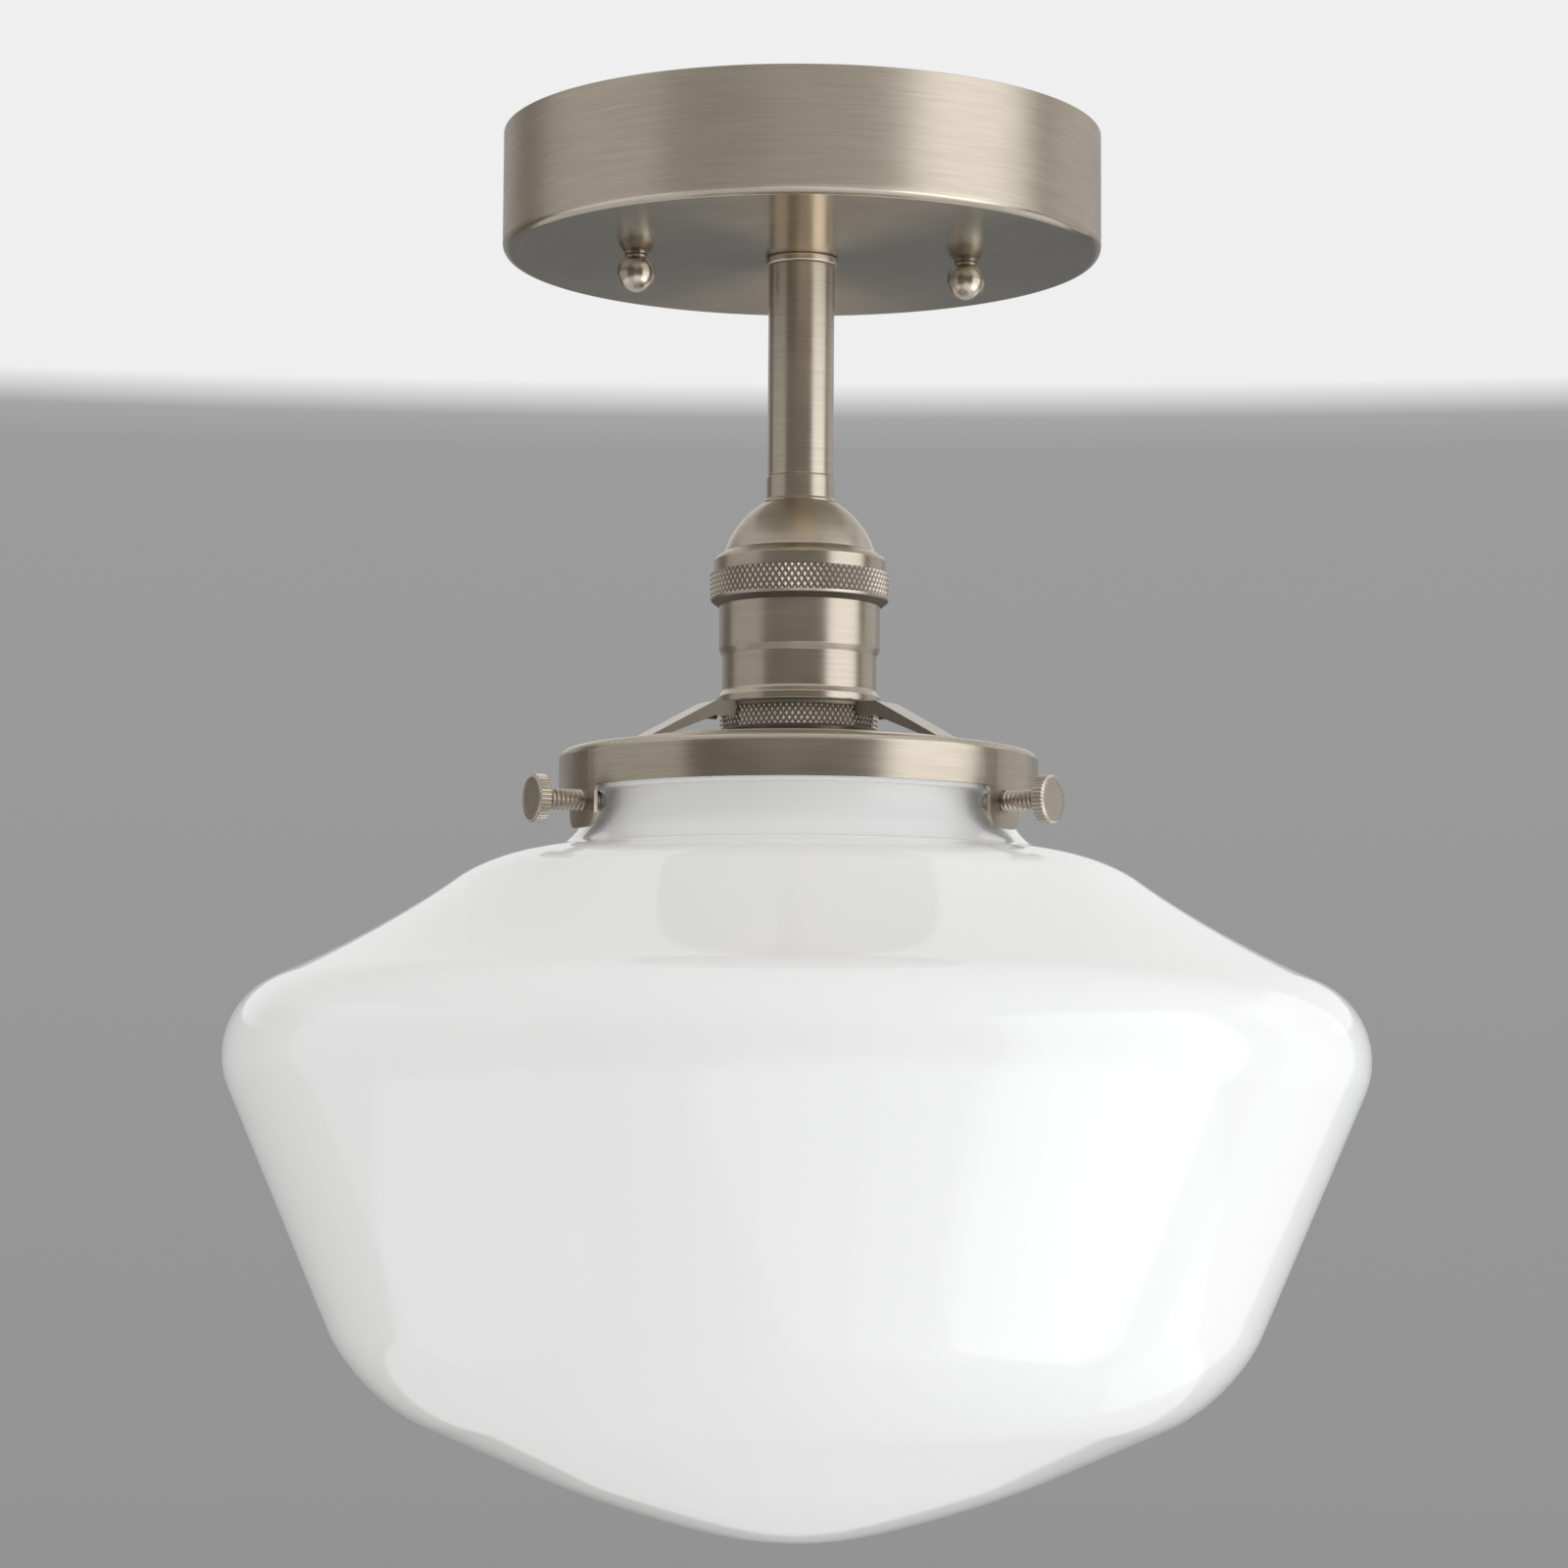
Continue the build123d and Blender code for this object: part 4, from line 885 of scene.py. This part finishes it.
glass_wall = 3.2
lip_radius = 50.8
lip_height = 7.6
neck_radius = 47.0
mouth_radius = neck_radius - glass_wall
lip_top, glass_bottom = heights("shade_glass")
lip_bottom = lip_top - lip_height
glass_outline = [
    (lip_radius, lip_top, 1.4),
    (lip_radius, lip_bottom, 1.4),
    (neck_radius, lip_bottom, 0.4),
    (neck_radius, lip_bottom - 11.69, 11.85),
    (68.25, lip_bottom - 12.81, 33.3),
    (94.58, lip_bottom - 32.14, 186.0),
    (133.26, lip_bottom - 48.09, 18.9),
    (97.1, lip_bottom - 132.45, 38.2),
    (35.9, lip_bottom - 159.19, 199.0),
    (7.09, glass_bottom, 73.5),
    (0, glass_bottom, 0),
    (0, glass_bottom + glass_wall, 0),
    (6.78, glass_bottom + glass_wall, 70.5),
    (34.95, lip_bottom - 156.11, 196.0),
    (94.66, lip_bottom - 130.03, 35.0),
    (129.04, lip_bottom - 49.81, 15.7),
    (93.0, lip_bottom - 34.95, 189.0),
    (67.13, lip_bottom - 15.95, 30.1),
    (mouth_radius, lip_bottom - 14.73, 15.0),
    (mouth_radius, lip_top, 0.8),
]
glass_shape = turned(glass_outline, steps=192)
glass_heart = Vector((0, 0, (lip_bottom - 70) * mm))
glass_shape.normal_update()
for face in glass_shape.faces:
    center = face.calc_center_median()
    under_lip = center.xy.length > (neck_radius - 0.5) * mm and center.z > (lip_bottom - 2) * mm
    if face.normal.dot(center - glass_heart) < 0 and not under_lip:
        face.material_index = 1
glass = finished("blown_glass", glass_shape, opal_glass("opal_glass"))
# The inside faces glow a little: painted light for what comes through the opal wall.
glass.data.materials.append(opal_glass("opal_glass_inside", painted_glow=0.14))
glass.modifiers.clear()
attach(glass, "shade")
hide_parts("shade_glass")


# ---------------------------------------------------------------- lamp
# Screw-in lamp with an aluminium cap, a black insulator, a white housing and a frosted dome over
# its board of light sources. It hides inside the glass.

dress(plated("lamp_metal", (0.60, 0.60, 0.60), (0.72, 0.72, 0.72), 0.38, 0.26), "bulb_cap", "bulb_contact")
dress(moulded("lamp_insulator", (0.012, 0.012, 0.014), (0.02, 0.02, 0.022), 0.2, 0.12), "bulb_insulator")
dress(moulded("lamp_housing", (0.76, 0.76, 0.74), (0.80, 0.80, 0.78), 0.42, 0.34), "bulb_housing")
dress(moulded("lamp_board", (0.70, 0.72, 0.74), (0.76, 0.78, 0.80), 0.55, 0.45), "led_board")
dress(moulded("frosted_dome", (0.80, 0.80, 0.78), (0.84, 0.84, 0.82), 0.6, 0.5, relief=0.25), "bulb_diffuser")


# ---------------------------------------------------------------- studio
# Plain pale floor well below the lamp, tall soft panels on both sides with narrower ones that only
# reflect, and a plain surround: pale above, grey behind the lamp and darker on the camera's side.

camera_bearing = radians(-95)
floor_level = -2.1

floor_shape = bmesh.new()
bmesh.ops.create_circle(floor_shape, cap_ends=True, segments=96, radius=4.0)
bmesh.ops.translate(floor_shape, verts=floor_shape.verts, vec=(0, 0, floor_level))
floor_material, floor_shader, floor_new, floor_link = finish_nodes("pale_floor")
floor_place = floor_new("ShaderNodeTexCoord")
floor_noise = floor_new("ShaderNodeTexNoise")
floor_noise.inputs["Scale"].default_value = 3.0
floor_link(floor_place.outputs["Object"], floor_noise.inputs["Vector"])
floor_greys = ((0.79, 0.79, 0.785), (0.82, 0.82, 0.815))
floor_tint = tinted(floor_new, floor_link, floor_noise.outputs["Fac"], *floor_greys)
floor_link(floor_tint, floor_shader.inputs["Base Color"])
floor_shader.inputs["Roughness"].default_value = 0.9
floor = finished("floor", floor_shape, floor_material)
floor.modifiers.clear()

world = bpy.data.worlds.new("surround")
bpy.context.scene.world = world
world.use_nodes = True
air = world.node_tree
air.nodes.clear()
direction = air.nodes.new("ShaderNodeTexCoord")
height = air.nodes.new("ShaderNodeSeparateXYZ")
air.links.new(direction.outputs["Generated"], height.inputs["Vector"])


def by_height(stops):
    """Colours of the surround from straight down (0) over the horizon (0.5) to straight up (1)."""
    level = air.nodes.new("ShaderNodeMapRange")
    level.inputs["From Min"].default_value = -1.0
    level.inputs["From Max"].default_value = 1.0
    air.links.new(height.outputs["Z"], level.inputs["Value"])
    ramp = air.nodes.new("ShaderNodeValToRGB")
    ramp.color_ramp.interpolation = "EASE"
    while len(ramp.color_ramp.elements) < len(stops):
        ramp.color_ramp.elements.new(0.5)
    for element, (position, shade) in zip(ramp.color_ramp.elements, stops):
        element.position = position
        element.color = (*shade, 1)
    air.links.new(level.outputs["Result"], ramp.inputs["Fac"])
    return ramp.outputs["Color"]


def lit(colour, strength=1.0):
    """A background of one colour or of a colour output."""
    background = air.nodes.new("ShaderNodeBackground")
    background.inputs["Strength"].default_value = strength
    if isinstance(colour, tuple):
        background.inputs["Color"].default_value = (*colour, 1)
    else:
        air.links.new(colour, background.inputs["Color"])
    return background.outputs["Background"]


overhead = (0.9, 0.9, 0.89)
behind = by_height((
    (0.0, (0.26, 0.26, 0.26)), (0.40, (0.20, 0.20, 0.195)), (0.47, (0.30, 0.30, 0.30)),
    (0.585, (0.33, 0.33, 0.33)), (0.590, (0.86, 0.865, 0.86)), (1.0, overhead),
))
before = by_height((
    (0.0, (0.24, 0.225, 0.20)), (0.45, (0.155, 0.138, 0.11)), (0.62, (0.17, 0.155, 0.13)),
    (0.76, (0.58, 0.57, 0.55)), (1.0, overhead),
))
facing = air.nodes.new("ShaderNodeVectorMath")
facing.operation = "DOT_PRODUCT"
facing.inputs[1].default_value = (cos(camera_bearing), sin(camera_bearing), 0)
air.links.new(direction.outputs["Generated"], facing.inputs[0])


def blended(start, end, first, second):
    """One colour until the view turns this far from straight behind the lamp, and another past that."""
    share = air.nodes.new("ShaderNodeMapRange")
    share.interpolation_type = "SMOOTHSTEP"
    share.inputs["From Min"].default_value = start
    share.inputs["From Max"].default_value = end
    air.links.new(facing.outputs["Value"], share.inputs["Value"])
    mix = air.nodes.new("ShaderNodeMix")
    mix.data_type = "RGBA"
    air.links.new(share.outputs["Result"], mix.inputs["Factor"])
    air.links.new(first, mix.inputs[6])
    air.links.new(second, mix.inputs[7])
    return mix.outputs[2]


around = blended(-0.93, -0.62, behind, before)

path = air.nodes.new("ShaderNodeLightPath")
either = air.nodes.new("ShaderNodeMath")
either.operation = "MAXIMUM"
air.links.new(path.outputs["Is Camera Ray"], either.inputs[0])
air.links.new(path.outputs["Is Glossy Ray"], either.inputs[1])
any_seen = air.nodes.new("ShaderNodeMath")
any_seen.operation = "MAXIMUM"
air.links.new(either.outputs["Value"], any_seen.inputs[0])
air.links.new(path.outputs["Is Transmission Ray"], any_seen.inputs[1])
mixed = air.nodes.new("ShaderNodeMixShader")
air.links.new(any_seen.outputs["Value"], mixed.inputs["Fac"])
air.links.new(lit((1.0, 1.0, 1.0), 0.80), mixed.inputs[1])
air.links.new(lit(around), mixed.inputs[2])
out = air.nodes.new("ShaderNodeOutputWorld")
air.links.new(mixed.outputs["Shader"], out.inputs["Surface"])


def panel(name, bearing, distance, width, tall, radiance, height=-0.55, aim=-0.55, reflected_only=False):
    """Soft panel light; its bearing goes round the lamp from the camera's side, positive to the right."""
    light = bpy.data.lights.new(name, "AREA")
    light.shape = "RECTANGLE"
    light.size = width
    light.size_y = tall
    light.energy = radiance * pi * width * tall
    light.color = (0.97, 0.99, 1.0)
    lamp = bpy.data.objects.new(name, light)
    turn = camera_bearing + radians(bearing)
    lamp.location = (distance * cos(turn), distance * sin(turn), height)
    lamp.rotation_euler = (Vector((0, 0, aim)) - lamp.location).to_track_quat("-Z", "Y").to_euler()
    bpy.context.scene.collection.objects.link(lamp)
    lamp.visible_diffuse = not reflected_only


panel("window_right", 67, 1.6, 1.7, 3.0, 0.93)
panel("window_right_sheen", 67, 1.55, 1.3, 2.9, 0.46, reflected_only=True)
panel("window_far", 124, 1.8, 1.1, 3.0, 0.42)
panel("window_left", -84, 1.7, 2.0, 3.0, 0.19)
panel("window_left_sheen", -84, 1.65, 1.9, 2.9, 0.14, reflected_only=True)
panel("low_reflector", 32, 1.6, 3.4, 1.5, 0.5, height=-1.3, aim=-0.25, reflected_only=True)

# The camera stands lower than the socket and looks up by five degrees.
camera_turn = -4.81
camera_tilt = 5.1
camera_roll = 0.38
camera_distance = 0.974
camera_height = -0.2342
camera_data = bpy.data.cameras.new("camera")
camera_data.sensor_width = 36.0
camera_data.lens = 100.1
camera = bpy.data.objects.new("camera", camera_data)
bpy.context.scene.collection.objects.link(camera)
camera.location = (
    camera_distance * cos(camera_bearing), camera_distance * sin(camera_bearing), camera_height,
)
camera.rotation_euler = (
    Matrix.Rotation(radians(camera_turn), 3, "Z")
    @ Matrix.Rotation(radians(90 + camera_tilt), 3, "X")
    @ Matrix.Rotation(radians(camera_roll), 3, "Z")
).to_euler()
bpy.context.scene.camera = camera
bpy.context.scene.view_settings.view_transform = "Standard"
